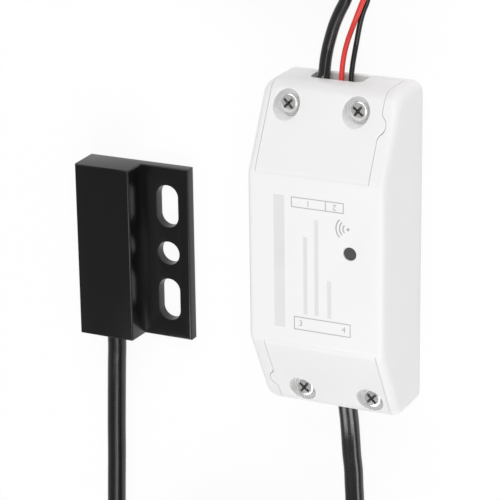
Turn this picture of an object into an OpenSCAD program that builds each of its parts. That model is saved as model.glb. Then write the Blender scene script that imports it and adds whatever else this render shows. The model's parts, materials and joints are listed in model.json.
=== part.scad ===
// Garage door controller: a mains powered relay box with its wired door sensor, in millimetres.
// The controller lies on its back at the origin, label up, with its output end towards +Y.

/* [Housing] */
// Length of the controller's housing
housing_length = 88; // [86:1:94]
// Width of the housing
housing_width = 38; // [37:0.5:42]
// Height of the housing at the label
housing_height = 25; // [24.5:0.5:28]
// Length of the flat label face
label_length = 45.6; // [44:0.2:47]
// Height of the end faces
end_height = 13.5; // [12.8:0.1:14]
// Thickness of the plastic walls
wall = 2; // [1.7:0.1:2.2]
// Radius of the housing's upright corners
corner_radius = 3; // [2.6:0.2:4]
// Thickness of the back plate
back_plate_thickness = 2; // [1.7:0.1:2.3]
// Gap between the back plate and the walls round it
plate_clearance = 0.15; // [0.1:0.05:0.25]

/* [End covers] */
// Width of the housing left beside a cover's straight edge
narrow_cheek = 2.4; // [2.2:0.1:2.8]
// Width of the housing left beside a cover's keyed edge
wide_cheek = 4.4; // [4.2:0.1:5]
// Seam round a cover
cover_gap = 0.2; // [0.15:0.05:0.3]
// Depth of the key on a cover's edge
key_depth = 1.6; // [1.2:0.1:1.8]
// Length of the key along the cover's edge
key_length = 4.8; // [4:0.2:6]
// Distance from the key's middle to the end face
key_from_end = 7.8; // [7:0.2:9]
// Height of the sill under a cable mouth
mouth_sill = 1.8; // [1.6:0.1:2]
// Width of a cable mouth
mouth_width = 14.6; // [14:0.2:16]
// Height of the top of a cable mouth
mouth_top = 7.6; // [7:0.1:8]

/* [Cover screws] */
// Distance between the two screws of a cover
screw_spacing = 19.2; // [18.4:0.2:19.6]
// Distance of the pair's middle from the centre line, towards the narrow cheek
screw_offset = 2; // [1.8:0.1:2.4]
// Distance from a screw to the end face
screw_from_end = 5.4; // [5:0.1:5.6]
// Height of the face under a screw head
screw_seat = 13.5; // [13:0.1:13.8]
// Thickness of the cover under a screw head
seat_thickness = 2; // [1.6:0.1:2.4]
// Diameter of a screw head
screw_head_d = 5.3; // [4.8:0.1:5.6]
// Height of a screw head
screw_head_h = 2.2; // [1.8:0.1:2.4]
// Diameter of a screw shank
screw_shank_d = 2.5; // [2.2:0.1:2.8]
// Length of a screw under its head
screw_length = 8; // [7:0.5:9]
// Diameter of the well round a screw head
well_d = 7.3; // [7:0.1:7.6]
// Diameter of the posts that take the screws
post_d = 5.6; // [5:0.1:5.8]
// Gap round a screw shank in its cover
shank_clearance = 0.2; // [0.15:0.05:0.3]

/* [Pairing button] */
// Place of the button across the label face
button_x = 9.6; // [9:0.1:10.2]
// Place of the button along the label face
button_y = 4.1; // [3.6:0.1:4.6]
// Diameter of the button
button_d = 3.2; // [2.8:0.1:3.6]
// Gap between the button and its hole
button_clearance = 0.15; // [0.1:0.05:0.25]
// How far the button's face lies under the label face
button_sink = 0.3; // [0.2:0.1:0.6]
// How far the button travels
button_travel = 0.4; // [0.3:0.05:0.5]
// Diameter of the button's collar inside the housing
button_collar_d = 5.2; // [4.6:0.1:6]
// Thickness of the collar
button_collar_h = 1; // [0.8:0.1:1.4]

/* [Circuit board] */
// Distance from the circuit board's end to the housing's end face
board_end_gap = 10; // [9.6:0.2:11]
// Width of the circuit board
board_width = 32; // [31.4:0.2:32.4]
// Thickness of the circuit board
board_thickness = 1.6; // [1.2:0.1:1.8]
// Height of the underside of the board
board_height = 5; // [4.6:0.1:5.4]
// Distance between the board's supports across
support_spacing_x = 28; // [27:0.2:29]
// Distance of the board's supports from its ends
support_from_end = 3; // [2.6:0.1:3.6]
// Diameter of a support
support_d = 4; // [3.4:0.1:4.4]
// Diameter of the peg on a support
peg_d = 2; // [1.6:0.1:2.2]
// Height of a peg above its support
peg_height = 2.2; // [2:0.1:2.6]
// Gap round a peg in the board
peg_clearance = 0.15; // [0.1:0.05:0.25]

/* [Terminals] */
// Distance between the output terminals
output_pitch = 5; // [4.8:0.1:5.1]
// Distance between the mains terminals
mains_pitch = 7.5; // [7:0.1:8]
// Depth of the terminal blocks
terminal_depth = 8; // [7.4:0.1:8.4]
// Room between the terminal blocks and the cover over them
terminal_headroom = 1.1; // [0.9:0.1:1.6]
// Distance from a terminal block to the board's end
terminal_from_end = 2; // [1.8:0.1:2.4]
// Height of the wire holes above the board
wire_hole_height = 3.2; // [2.8:0.1:3.6]
// Diameter of the wire holes
wire_hole_d = 2.6; // [2.4:0.1:3]
// Diameter of the terminal screws
terminal_screw_d = 3.2; // [2.8:0.1:3.6]

/* [Relay] */
// Width of the relay
relay_width = 15.5; // [15:0.1:16]
// Length of the relay
relay_length = 19; // [18.6:0.2:19.6]
// Room between the relay and the label face over it
relay_headroom = 1.1; // [0.6:0.1:1.4]
// Thickness of the relay's base
relay_base_h = 2; // [1.8:0.1:2.2]
// Thickness of the relay's case
relay_wall = 0.8; // [0.7:0.05:0.9]
// Diameter of the winding
coil_d = 9.6; // [9:0.1:10]
// Diameter of the core
core_d = 3.4; // [3:0.1:3.8]
// Diameter of the pole face on the core
pole_d = 6; // [5.6:0.1:6.4]
// Thickness of the relay's iron plates
iron_thickness = 1; // [0.9:0.05:1.1]
// Gap between the armature and the pole face
pole_gap = 0.5; // [0.48:0.02:0.6]

/* [Door sensor] */
// Distance of the sensor's left edge from the controller's centre
sensor_left = 78.2; // [74:0.2:84]
// Distance of the sensor's middle below the controller's centre
sensor_drop = 11.5; // [8:0.5:15]
// Height of the sensor along Y
sensor_length = 49; // [47:0.5:52]
// Width of the sensor's raised block at its foot
block_width = 17; // [16.4:0.1:18]
// How far the block's sides lean in
block_draft = 0.3; // [0.2:0.05:0.5]
// Depth of the raised block
block_depth = 10.2; // [9.8:0.1:11]
// Width of the sensor's flange
flange_width = 14.1; // [13.6:0.1:15]
// Thickness of the flange
flange_thickness = 3.1; // [2.8:0.1:3.6]
// Width of the flange's slots
slot_width = 6.4; // [5.8:0.1:6.8]
// Length of the flange's slots
slot_length = 11.9; // [11:0.1:12.4]
// Distance between the middles of the two slots
slot_spacing = 26.8; // [25.6:0.2:28]
// Diameter of the round hole in the flange
flange_hole_d = 6.5; // [6:0.1:6.8]
// Distance of the holes from the block
hole_from_block = 7.7; // [7.2:0.1:8]
// Wall left round the sensor's potting
sensor_wall = 1.8; // [1.6:0.1:2]
// Diameter of the reed switch's glass
reed_d = 2.4; // [2:0.1:2.8]
// Length of the reed switch's glass
reed_length = 14; // [13:0.5:16]
// Diameter of the reed switch's leads
reed_lead_d = 0.6; // [0.5:0.05:0.7]

/* [Cables] */
// Width of the flat mains lead
mains_width = 5.4; // [5:0.1:5.6]
// Thickness of the flat mains lead
mains_thickness = 3.2; // [3:0.1:3.3]
// Diameter of the controller's sensor lead
lead_d = 3.2; // [3:0.1:3.3]
// Diameter of the sensor's pigtail
pigtail_d = 5.2; // [4.8:0.1:5.4]
// Diameter of an output wire
wire_d = 1.4; // [1.2:0.05:1.4]
// Gap between the turns of a coil
turn_gap = 0.5; // [0.45:0.05:0.6]
// Thickness of the coil ties
tie_thickness = 0.7; // [0.5:0.1:0.9]
// Width of the coil ties
tie_width = 4; // [3:0.5:5]
// Gap between a coil and its tie
tie_clearance = 0.3; // [0.2:0.05:0.4]

/* [Plug and connectors] */
// Width of the mains plug
plug_width = 35.3; // [34:0.1:36]
// Height of the mains plug
plug_height = 13.7; // [13:0.1:14.4]
// Length of the mains plug's body
plug_length = 36; // [34:0.5:38]
// Diameter of the plug's pins
pin_d = 4; // [3.9:0.05:4.1]
// Length of the plug's pins
pin_length = 19; // [18:0.5:20]
// Distance between the plug's pins
pin_spacing = 18.6; // [18:0.1:19.2]
// Diameter of the small connectors
connector_d = 9; // [8.6:0.1:9.6]
// Length of a small connector's body
connector_length = 20; // [18:0.5:22]
// Length of a small connector's tapered boot
boot_length = 8; // [7:0.5:9]
// Diameter of the pins in a small connector
socket_pin_d = 1; // [0.8:0.1:1.2]
// Distance between those pins
socket_pin_spacing = 3; // [2.6:0.1:3.2]
// Diameter of the socket's nose
nose_d = 6.8; // [6.4:0.1:7]
// Depth of the recess that takes the nose
plug_recess = 7; // [6:0.5:8]
// Gap round the nose and the pins when the connectors mate
mate_clearance = 0.1; // [0.1:0.02:0.16]

/* [Hidden] */

$fn = 48;
past = 1;
half_length = housing_length / 2;
half_width = housing_width / 2;
label_end = label_length / 2;
slope_angle = atan2(housing_height - end_height, half_length - label_end);
wall_drop = wall / cos(slope_angle);
function slope_z(y) = housing_height - (abs(y) - label_end) * tan(slope_angle);

cover_left = -half_width + narrow_cheek;
cover_right = half_width - wide_cheek;
screw_y = half_length - screw_from_end;
screw_xs = [-screw_offset - screw_spacing / 2, -screw_offset + screw_spacing / 2];
post_top = screw_seat - seat_thickness;
boss_d = well_d + wall;
head_rim = screw_head_h * 0.55;
head_top_d = screw_head_d * 0.7;
cross_length = screw_head_d * 0.56;
cross_width = screw_head_d * 0.17;
pilot_spare = 0.5;
lug_length = 8;
lug_depth = 0.6;
lug_height = 1;
lug_y = 14;

board_length = housing_length - 2 * board_end_gap;
board_top = board_height + board_thickness;
support_spacing_y = board_length - 2 * support_from_end;
button_top = housing_height - button_sink;
collar_top = housing_height - wall - button_clearance;
switch_size = 6;
switch_height = 3.6;
plunger_d = 3.4;
plunger_rise = 1.5;
plunger_sink = 0.9;
plunger_top = board_top + switch_height + plunger_rise;
press_gap = 0.1;
plunger_well = plunger_sink + button_travel + press_gap;

terminal_face = board_length / 2 - terminal_from_end;
terminal_back = terminal_face - terminal_depth;
terminal_height = slope_z(terminal_face) - wall_drop - terminal_headroom - board_top;
output_count = 4;
mains_count = 2;
output_xs = [for (i = [0:output_count - 1]) -screw_offset + (i - (output_count - 1) / 2) * output_pitch];
mains_xs = [for (i = [0:mains_count - 1]) screw_offset + (i - (mains_count - 1) / 2) * mains_pitch];
wire_z = board_top + wire_hole_height;
terminal_screw_h = 2;
terminal_screw_sink = 0.3;
terminal_slot = 0.6;
wire_hole_depth = terminal_depth * 0.6;
jacket_core_d = 1;

relay_edge = 0.5;
relay_gap = 4;
relay_x = -board_width / 2 + relay_edge + relay_width / 2;
relay_y = terminal_back - relay_gap - relay_length / 2;
relay_z = board_top;
relay_height = housing_height - wall - relay_headroom - board_top;

part_gap = 3;
mains_capacitor_d = 8;
mains_capacitor_h = 12;
mains_capacitor_x = -11;
mains_capacitor_y = relay_y - relay_length / 2 - part_gap - mains_capacitor_d / 2;
fuse_d = 8.4;
fuse_h = 8;
fuse_x = -10;
fuse_y = mains_capacitor_y - mains_capacitor_d / 2 - part_gap - fuse_d / 2;
rectifier_place = [10.2, -22.5, board_top];
rectifier_size = [5.6, 6, 3.3];
transformer_place = [2, -12, board_top];
transformer_size = [13, 6, 11];
core_limb = 1.9;
window_h = transformer_size.z - 2 * core_limb;
limb_d = 3.6;
transformer_winding_d = 8.8;
supply_capacitor_place = [12.4, -11, board_top];
supply_capacitor_d = 6.3;
supply_capacitor_h = 11;
radio_size = [13.6, 10, 0.8];
radio_gap = 1.6;
radio_place = [2, terminal_back - radio_gap - radio_size.y, board_top];
shield_margin = 1;
shield_size = [11.6, 8, 2];
lamp_offset = [-6, -0.8, 0];
lamp_size = [1.2, 2, 0.8];

iron_width = 8;
coil_y = relay_y - 2;
yoke_floor = relay_z + relay_base_h + iron_thickness;
hinge_y = relay_y + 5;
armature_headroom = 0.7;
armature_z = relay_z + relay_height - relay_wall - iron_thickness - armature_headroom;
hinge_gap = 0.06;
pole_top = armature_z - pole_gap;
pole_h = 0.6;
winding_gap = 0.1;
winding_h = pole_top - pole_h - yoke_floor - 2 * winding_gap;
bobbin_flange = 0.7;
bobbin_step = 1.2;
armature_lip = 0.5;
hinge_overhang = 1.5;
contact_wall_gap = 0.2;
contact_h = 0.5;
contact_d = 1;
contact_y = relay_y - relay_length / 2 + relay_wall + contact_wall_gap + contact_d / 2;
blade_thickness = 0.6;
leaf_thickness = 0.4;
leaf_width = 2.4;
contact_spare = 0.15;
contact_gap = pole_gap + contact_spare;

sensor_x = -sensor_left;
sensor_y = -sensor_drop;
sensor_width = block_width + flange_width;
hole_x = sensor_x + block_width + hole_from_block;
potting_depth = block_depth - sensor_wall;
potting_x = sensor_x + sensor_wall + block_draft;
potting_width = block_width - 2 * (sensor_wall + block_draft);
potting_length = sensor_length - 2 * sensor_wall;
sensor_mid = sensor_x + block_width / 2;
reed_z = block_depth / 2;
pigtail_x = sensor_mid - 0.1;
pigtail_start = sensor_y - potting_length / 2;
pigtail_z = 4.2;
bore_clearance = 0.1;

// A smooth curve through hand chosen points, and its heading at each of its points
function unit(v) = v / norm(v);
function spline_point(a, b, c, d, t) =
    0.5 * (2 * b + (c - a) * t + (2 * a - 5 * b + 4 * c - d) * t * t + (3 * b - a - 3 * c + d) * t * t * t);
function at(p, i) = p[max(0, min(len(p) - 1, i))];
function smooth_path(p, steps) = concat(
    [for (i = [0:len(p) - 2], s = [0:steps - 1])
        spline_point(at(p, i - 1), p[i], p[i + 1], at(p, i + 2), s / steps)],
    [p[len(p) - 1]]);
function heading(p, i) = unit(at(p, i + 1) - at(p, i - 1));

// Corners of one section across a cord: a flat cord has round edges, and roll turns it on its edge
function section_corner(w, t, a) = [(w - t) / 2 * sign(cos(a)) + t / 2 * cos(a), t / 2 * sin(a)];
function turned(q, roll) = [q.x * cos(roll) - q.y * sin(roll), q.x * sin(roll) + q.y * cos(roll)];
function ring(c, dir, w, t, roll, sides) =
    let (side = unit(cross(dir, [0, 0, 1])), up = cross(side, dir))
    [for (k = [0:sides - 1])
        let (q = turned(section_corner(w, t, 360 * (k + 0.5) / sides), roll)) c + side * q.x + up * q.y];
function tube_points(p, w, t, rolls, sides) =
    [for (i = [0:len(p) - 1]) each ring(p[i], heading(p, i), w, t, rolls[i], sides)];
function tube_faces(n, s) = concat(
    [for (i = [0:n - 2], k = [0:s - 1], half = [0, 1])
        let (a = i * s + k, b = i * s + (k + 1) % s)
        half == 0 ? [a, a + s, b] : [b, a + s, b + s]],
    [for (k = [1:s - 2]) [0, k, k + 1]],
    [for (k = [1:s - 2]) let (e = (n - 1) * s) [e, e + k + 1, e + k]]);
module tube(p, w, t, rolls, sides) {
    polyhedron(points = tube_points(p, w, t, rolls, sides), faces = tube_faces(len(p), sides));
}
module round_tube(p, d, sides) {
    tube(p, d, d, [for (q = p) 0], sides);
}

// A coil: turns spiral in and out at a steady rate and climb a layer in the half turn where they reverse
// Its list holds: centre, outer radius, radial step, turns a layer, layers, layer step, base, start, way
function clamp01(x) = max(0, min(1, x));
function coil_depth(c, t) =
    let (k = floor(t / c[3]), s = t - k * c[3]) k % 2 == 0 ? s : c[3] - s;
function total(v) = v * [for (x = v) 1];
function coil_climb(c, t) = total([for (j = [1:c[4] - 1]) clamp01((t - j * c[3]) * 2 + 0.5)]);
function coil_point(c, t) =
    let (r = c[1] - c[2] * coil_depth(c, t), a = c[7] + c[8] * 360 * t)
    [c[0].x + r * cos(a), c[0].y + r * sin(a), c[6] + c[5] * coil_climb(c, t)];
function coil_turns(c) = c[3] * c[4];
function coil_start_heading(c) = [-sin(c[7]), cos(c[7]), 0] * c[8];
function coil_end_heading(c) =
    let (a = c[7] + c[8] * 360 * coil_turns(c)) [-sin(a), cos(a), 0] * c[8];
function coil_start(c, d) = coil_point(c, 0) - coil_start_heading(c) * d;
function coil_end(c, d) = coil_point(c, coil_turns(c)) + coil_end_heading(c) * d;
function run_in(c, d, step) = [for (k = [2:-1:0]) coil_start(c, d + k * step)];
function run_out(c, d, step) = [for (k = [0:2]) coil_end(c, d + k * step)];
function run_along(p, dir, step) = [for (k = [2:-1:0]) p - dir * k * step];
function coil_path(c, d) = concat(
    [coil_start(c, d)],
    [for (i = [0:round(coil_turns(c) * 24)]) coil_point(c, i / 24)],
    [coil_end(c, d)]);
// Radii of the turns of a coil where they pass an angle
function radii_at(c, angle) =
    let (first = ((angle - c[7]) * c[8] / 360 + 10) % 1)
    [for (n = [0:floor(coil_turns(c) - first)]) c[1] - c[2] * coil_depth(c, n + first)];
function path_length(p) = total([for (i = [1:len(p) - 1]) norm(p[i] - p[i - 1])]);
// Least gap between parts of a coil that are half a turn or more apart, on the corners of its sections
function self_gap(p, w, t, roll, sides) =
    let (rings = [for (i = [0:len(p) - 1]) ring(p[i], heading(p, i), w, t, roll, sides)])
    min([for (i = [0:len(p) - 13], j = [i + 12:len(p) - 1]) if (norm(p[i] - p[j]) < 2 * w)
        min([for (a = rings[i], b = rings[j]) norm(a - b)])]);

// Hand chosen points are counted from the middle of an end face, or from the sensor's lower face
function past_output(points) = [for (p = points) p + [0, half_length, 0]];
function past_mains(points) = [for (p = points) p - [0, half_length, 0]];

// Mains lead: the coil lies past the lead's end of the view, with the cord on its edge
edge_roll = 90;
coil_lift = tie_thickness + tie_clearance + 0.2;
mains_base = coil_lift + mains_width / 2;
mains_step = mains_thickness + turn_gap + 0.3;
mains_coil = [[-31.4, -77 - half_length], 32.6, mains_step, 2.625, 2, mains_width + turn_gap, mains_base,
    0, -1];
mains_route = concat(past_mains([
    [1.6, 5.4, 6], [1.6, 4.7, 6], [1.6, 4, 6], [0.8, 2, 5.6], [0.2, -0.5, 4.6], [0, -4.2, 3.6],
    [-0.1, -8, 2.5], [-0.1, -13, 1.7], [0.2, -17.6, 1.7], [0.7, -22.3, 1.7], [0.9, -27, 1.7],
    [1.1, -31.2, 1.7], [1.2, -37, 2], [1.2, -46, 2.8], [1.2, -56, 3.6]]),
    run_in(mains_coil, mains_width, 2.5));
mains_twist_from = 32;
mains_twist_to = 64;
function mains_roll(p) =
    edge_roll * clamp01((-p.y - half_length - mains_twist_from) / (mains_twist_to - mains_twist_from));
mains_coil_top = mains_base + mains_coil[5] + mains_width / 2;
plug_rear = [-33, -65.6 - half_length, mains_coil_top + tie_thickness + tie_clearance + plug_height / 2];
plug_neck_end = plug_length * 0.28;
plug_shoulder = plug_length * 0.5;
plug_body_start = plug_length * 0.62;
mains_tail_route = concat(
    run_out(mains_coil, mains_width, 2),
    past_mains([[-48.6, -106.6, 12.4], [-55.4, -101, 15], [-59.4, -93, 16.2], [-60.4, -84, 16.8],
    [-57.6, -75, 17.4], [-51, -68.4, 18.4], [-43, -65.7, 19.6]]),
    run_along(plug_rear, [1, 0, 0], 2));

// Controller's sensor lead: round, coiled past the top of the view, with a socket on its end
lead_base = coil_lift + lead_d / 2;
lead_step = lead_d + turn_gap;
lead_layers = 4;
lead_coil = [[-20.5, 49 + half_length], 21.3, lead_step, 2.0625, lead_layers, lead_step, lead_base, 0, 1];
lead_route = concat(past_output([
    [-6.6, -5.4, 5.8], [-6.6, -4.7, 5.8], [-6.6, -4, 5.8], [-6.6, -2, 4.8], [-6.7, 0, 3.7],
    [-6.8, 3.4, 2.5], [-6.5, 6.4, 1.8], [-5.7, 9.6, 1.65], [-4.6, 13, 1.65], [-3.2, 16.2, 1.65],
    [-1.6, 19.4, 1.65], [0, 24, 1.7], [0.7, 30, 2], [0.8, 36, 2.6]]),
    run_in(lead_coil, lead_d, 2));
lead_coil_top = lead_base + (lead_layers - 1) * lead_step + lead_d / 2;
socket_rear = [-23, 50.3 + half_length, lead_coil_top + tie_thickness + tie_clearance + connector_d / 2];
lead_tail_route = concat(
    run_out(lead_coil, lead_d, 1),
    past_output([[-32.6, 65.4, 17.2], [-35.6, 60, 19], [-34, 54.2, 20], [-30, 51, 20.8]]),
    run_along(socket_rear, [1, 0, 0], 1.5));

// Sensor's pigtail: straight down out of the sensor, with a plug on its end
boot_wall = 1.4;
nose_length = plug_recess - mate_clearance;
sensor_foot = [pigtail_x, sensor_y - sensor_length / 2, 0];
plug_back = sensor_foot + [-3.2, -90, connector_d / 2 + 0.1];
pigtail_route = concat([
    [pigtail_x, pigtail_start, pigtail_z], [pigtail_x, pigtail_start - 1.5, pigtail_z],
    [pigtail_x, pigtail_start - 3, pigtail_z]],
    [for (p = [[-0.2, -5, 3.9], [-0.7, -9.4, 3.4], [-1.3, -15.8, 2.8], [-1.6, -22, 2.7], [-1.9, -30, 2.7],
        [-2.1, -37.5, 2.7], [-2.4, -45, 2.7], [-2.7, -53, 2.7], [-3, -64, 2.9], [-3.2, -76, 3.8]])
        sensor_foot + p],
    run_along(plug_back, [0, -1, 0], 2));

// Output wires: a red and a black single wire, each with a small coil and a bare end
wire_base = coil_lift + wire_d / 2;
wire_step = wire_d + turn_gap;
red_coil = [[17.6, 36 + half_length], 9.9, wire_step, 2.125, 2, wire_step, wire_base, 180, -1];
black_coil = [[15, 59 + half_length], 9.9, wire_step, 2.125, 2, wire_step, wire_base, 180, -1];
red_route = concat([
    [output_xs[2], terminal_face, wire_z], [output_xs[2] - 0.2, terminal_face + 2.5, wire_z - 0.6]],
    past_output([[-1.2, -5, 6.2], [-1.7, -0.6, 4], [-2, 2.3, 2.8], [-2, 5.2, 1.6], [-1.4, 7.6, 1],
    [-0.9, 9.9, 0.9], [0.5, 13.2, 1.3], [2.2, 16.8, 2.2], [3.65, 20, 2.6], [5.2, 23.2, 2.5],
    [6.8, 26.6, 2]]),
    run_in(red_coil, wire_d, 1.5));
black_route = concat([
    [output_xs[3], terminal_face, wire_z], [output_xs[3] - 0.4, terminal_face + 2.5, wire_z - 0.6]],
    past_output([[2.2, -5, 6.2], [1, -0.5, 4], [0.8, 2.6, 2.8], [0.8, 5.4, 1.6], [1.1, 8.4, 0.9],
    [2, 13.3, 0.8], [2.9, 16.5, 0.8], [4.1, 19.7, 0.8], [4.7, 24, 0.8], [4.9, 32, 0.8], [4.9, 40, 0.9],
    [5, 48, 1.4]]),
    run_in(black_coil, wire_d, 1.5));
tip_d = 0.8;
tip_length = 6;

// Plan of the housing, moved in from its outside by inset
module plan(inset) {
    r = max(corner_radius - inset, 0.4);
    x = half_width - inset - r;
    y = half_length - inset - r;
    union() {
        square([2 * x, 2 * (y + r)], center = true);
        square([2 * (x + r), 2 * y], center = true);
        for (sx = [-1, 1], sy = [-1, 1])
            translate([sx * x, sy * y]) circle(r);
    }
}

// Side view of the housing, moved in from its outside by inset
module side_view(inset) {
    top = housing_height - inset;
    drop = inset / cos(slope_angle);
    fold = label_end + (inset - drop) / tan(slope_angle);
    end = half_length - inset;
    polygon([[-end, -past], [end, -past], [end, slope_z(end) - drop], [fold, top], [-fold, top],
        [-end, slope_z(end) - drop]]);
}

// Solid that the housing and its covers fill, moved in from the outside by inset
module housing_form(inset, bottom) {
    intersection() {
        translate([0, 0, bottom]) linear_extrude(housing_height) plan(inset);
        rotate([90, 0, 90]) translate([0, 0, -half_width - past])
            linear_extrude(housing_width + 2 * past) side_view(inset);
    }
}
module housing_skin() {
    difference() {
        housing_form(0, 0);
        housing_form(wall, -past);
    }
}

// Opening for the output end's cover; grow is positive for the opening and negative for the cover
module cover_region(grow, bottom) {
    ky = half_length - key_from_end;
    far = half_length + past;
    left = cover_left - grow;
    right = cover_right + grow;
    near = label_end - grow;
    translate([0, 0, bottom]) linear_extrude(housing_height)
        polygon([[left, near], [right, near], [right, ky - key_length / 2 - grow],
            [right + key_depth, ky - key_length / 4 - grow], [right + key_depth, ky + key_length / 4 + grow],
            [right, ky + key_length / 2 + grow], [right, far], [left, far]]);
}
module both_ends() {
    children();
    rotate([0, 0, 180]) children();
}

module housing() {
    color("white") difference() {
        housing_skin();
        both_ends() cover_region(cover_gap / 2, mouth_sill);
        translate([button_x, button_y, housing_height - wall - past])
            cylinder(d = button_d + 2 * button_clearance, h = wall + 2 * past);
        for (sx = [-1, 1], sy = [-1, 1])
            translate([sx * (half_width - wall), sy * lug_y, back_plate_thickness / 2])
                cube([2 * (lug_depth + plate_clearance), lug_length + 2 * plate_clearance,
                    lug_height + 2 * plate_clearance], center = true);
    }
}

module back_plate() {
    color("whitesmoke") difference() {
        union() {
            linear_extrude(back_plate_thickness) plan(wall + plate_clearance);
            intersection() {
                both_ends() for (x = screw_xs)
                    translate([x, screw_y, 0]) cylinder(d = post_d, h = post_top);
                housing_form(wall + plate_clearance, -past);
            }
            for (sx = [-1, 1], sy = [-1, 1]) {
                translate([sx * support_spacing_x / 2, sy * support_spacing_y / 2, 0]) {
                    cylinder(d = support_d, h = board_height);
                    cylinder(d = peg_d, h = board_height + peg_height);
                }
                translate([sx * (half_width - wall - plate_clearance), sy * lug_y, back_plate_thickness / 2])
                    cube([2 * lug_depth, lug_length, lug_height], center = true);
            }
        }
        both_ends() for (x = screw_xs)
            translate([x, screw_y, screw_seat - screw_length - pilot_spare])
                cylinder(d = screw_shank_d, h = screw_length + past);
    }
}

module end_cover() {
    difference() {
        intersection() {
            union() {
                housing_skin();
                intersection() {
                    housing_form(0, 0);
                    for (x = screw_xs)
                        translate([x, screw_y, post_top]) cylinder(d = boss_d, h = housing_height);
                }
            }
            cover_region(-cover_gap / 2, mouth_sill + cover_gap);
        }
        for (x = screw_xs) translate([x, screw_y, 0]) {
            translate([0, 0, screw_seat]) cylinder(d = well_d, h = housing_height);
            cylinder(d = screw_shank_d + 2 * shank_clearance, h = housing_height);
        }
        translate([-screw_offset, half_length, mouth_top / 2])
            cube([mouth_width, 2 * (wall + past), mouth_top], center = true);
    }
}
module output_end_cover() {
    color("white") end_cover();
}
module mains_end_cover() {
    color("white") rotate([0, 0, 180]) end_cover();
}

module cross_screw() {
    difference() {
        union() {
            translate([0, 0, -screw_length]) cylinder(d = screw_shank_d, h = screw_length + head_rim);
            cylinder(d = screw_head_d, h = head_rim);
            translate([0, 0, head_rim])
                cylinder(d1 = screw_head_d, d2 = head_top_d, h = screw_head_h - head_rim);
        }
        for (a = [0, 90]) rotate([0, 0, a + 45])
            translate([0, 0, screw_head_h]) cube([cross_length, cross_width, screw_head_h], center = true);
    }
}
module cover_screws() {
    color("silver") both_ends() for (x = screw_xs)
        translate([x, screw_y, screw_seat]) cross_screw();
}

module pairing_button() {
    color("dimgray") translate([button_x, button_y, 0]) {
        translate([0, 0, plunger_top + press_gap])
            cylinder(d = button_d, h = button_top - plunger_top - press_gap);
        translate([0, 0, collar_top - button_collar_h]) cylinder(d = button_collar_d, h = button_collar_h);
    }
}

module circuit_board() {
    color("darkgreen") difference() {
        translate([-board_width / 2, -board_length / 2, board_height])
            cube([board_width, board_length, board_thickness]);
        for (sx = [-1, 1], sy = [-1, 1])
            translate([sx * support_spacing_x / 2, sy * support_spacing_y / 2, board_height - past])
                cylinder(d = peg_d + 2 * peg_clearance, h = board_thickness + 2 * past);
    }
}

// Terminal block for the output end, with a wire hole and a screw well for each pole
module terminal_block(xs, pitch) {
    middle = (xs[0] + xs[len(xs) - 1]) / 2;
    width = pitch * len(xs);
    difference() {
        translate([middle - width / 2, terminal_back, board_top])
            cube([width, terminal_depth, terminal_height]);
        for (x = xs) {
            translate([x, terminal_face + past, wire_z]) rotate([90, 0, 0])
                cylinder(d = wire_hole_d, h = wire_hole_depth + past);
            translate([x, terminal_face - terminal_depth / 2, board_top + terminal_height - terminal_screw_h])
                cylinder(d = terminal_screw_d, h = terminal_screw_h + past);
        }
    }
}
module terminal_screw() {
    difference() {
        cylinder(d = terminal_screw_d, h = terminal_screw_h - terminal_screw_sink);
        translate([0, 0, terminal_screw_h])
            cube([terminal_screw_d + past, terminal_slot, terminal_screw_h * 0.7], center = true);
    }
}
module output_terminal_block() {
    color("seagreen") terminal_block(output_xs, output_pitch);
}
module mains_terminal_block() {
    color("seagreen") rotate([0, 0, 180]) terminal_block([for (x = mains_xs) -x], mains_pitch);
}
module terminal_screws() {
    z = board_top + terminal_height - terminal_screw_h;
    y = terminal_face - terminal_depth / 2;
    color("silver") {
        for (x = output_xs) translate([x, y, z]) terminal_screw();
        for (x = mains_xs) translate([x, -y, z]) terminal_screw();
    }
}

// Cores from the ends of the cable jackets to their terminals, on curves that start and end straight
function eased(t) = t * t * (3 - 2 * t);
core_steps = 12;
module core_wire(from, to, d) {
    reach = to - from;
    round_tube([for (i = [0:core_steps])
        let (t = i / core_steps) from + [reach.x * eased(t), reach.y * t, reach.z * eased(t)]], d, 8);
}
module terminal_wires() {
    lead_end = lead_route[0];
    mains_end = mains_route[0];
    color("silver") {
        for (i = [0, 1])
            core_wire(lead_end + [(i - 0.5) * lead_d / 2, 0, 0], [output_xs[i], terminal_face, wire_z],
                jacket_core_d);
        for (i = [0, 1])
            core_wire(mains_end + [(i - 0.5) * mains_width / 2, 0, 0], [mains_xs[i], -terminal_face, wire_z],
                jacket_core_d);
    }
}

module fuse() {
    color("black") translate([fuse_x, fuse_y, board_top]) cylinder(d = fuse_d, h = fuse_h);
}
module rectifier() {
    color("black") translate(rectifier_place) cube(rectifier_size);
}
// Frame core with a round middle limb that the winding stands round
module transformer_core() {
    w = transformer_size.x;
    d = transformer_size.y;
    color("dimgray") translate(transformer_place) {
        difference() {
            translate([-w / 2, -d / 2, 0]) cube(transformer_size);
            translate([-w / 2 + core_limb, -d / 2 - past, core_limb])
                cube([w - 2 * core_limb, d + 2 * past, window_h]);
        }
        translate([0, 0, core_limb / 2]) cylinder(d = limb_d, h = window_h + core_limb);
    }
}
module transformer_winding() {
    color("gold") translate(transformer_place + [0, 0, core_limb + winding_gap]) difference() {
        cylinder(d = transformer_winding_d, h = window_h - 2 * winding_gap);
        translate([0, 0, -past]) cylinder(d = limb_d + 2 * winding_gap, h = window_h + 2 * past);
    }
}
module smoothing_capacitors() {
    color("navy") translate([mains_capacitor_x, mains_capacitor_y, board_top])
        cylinder(d = mains_capacitor_d, h = mains_capacitor_h);
    color("navy") translate(supply_capacitor_place) cylinder(d = supply_capacitor_d, h = supply_capacitor_h);
}
module radio_module() {
    color("darkblue") translate(radio_place) cube(radio_size);
}
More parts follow.
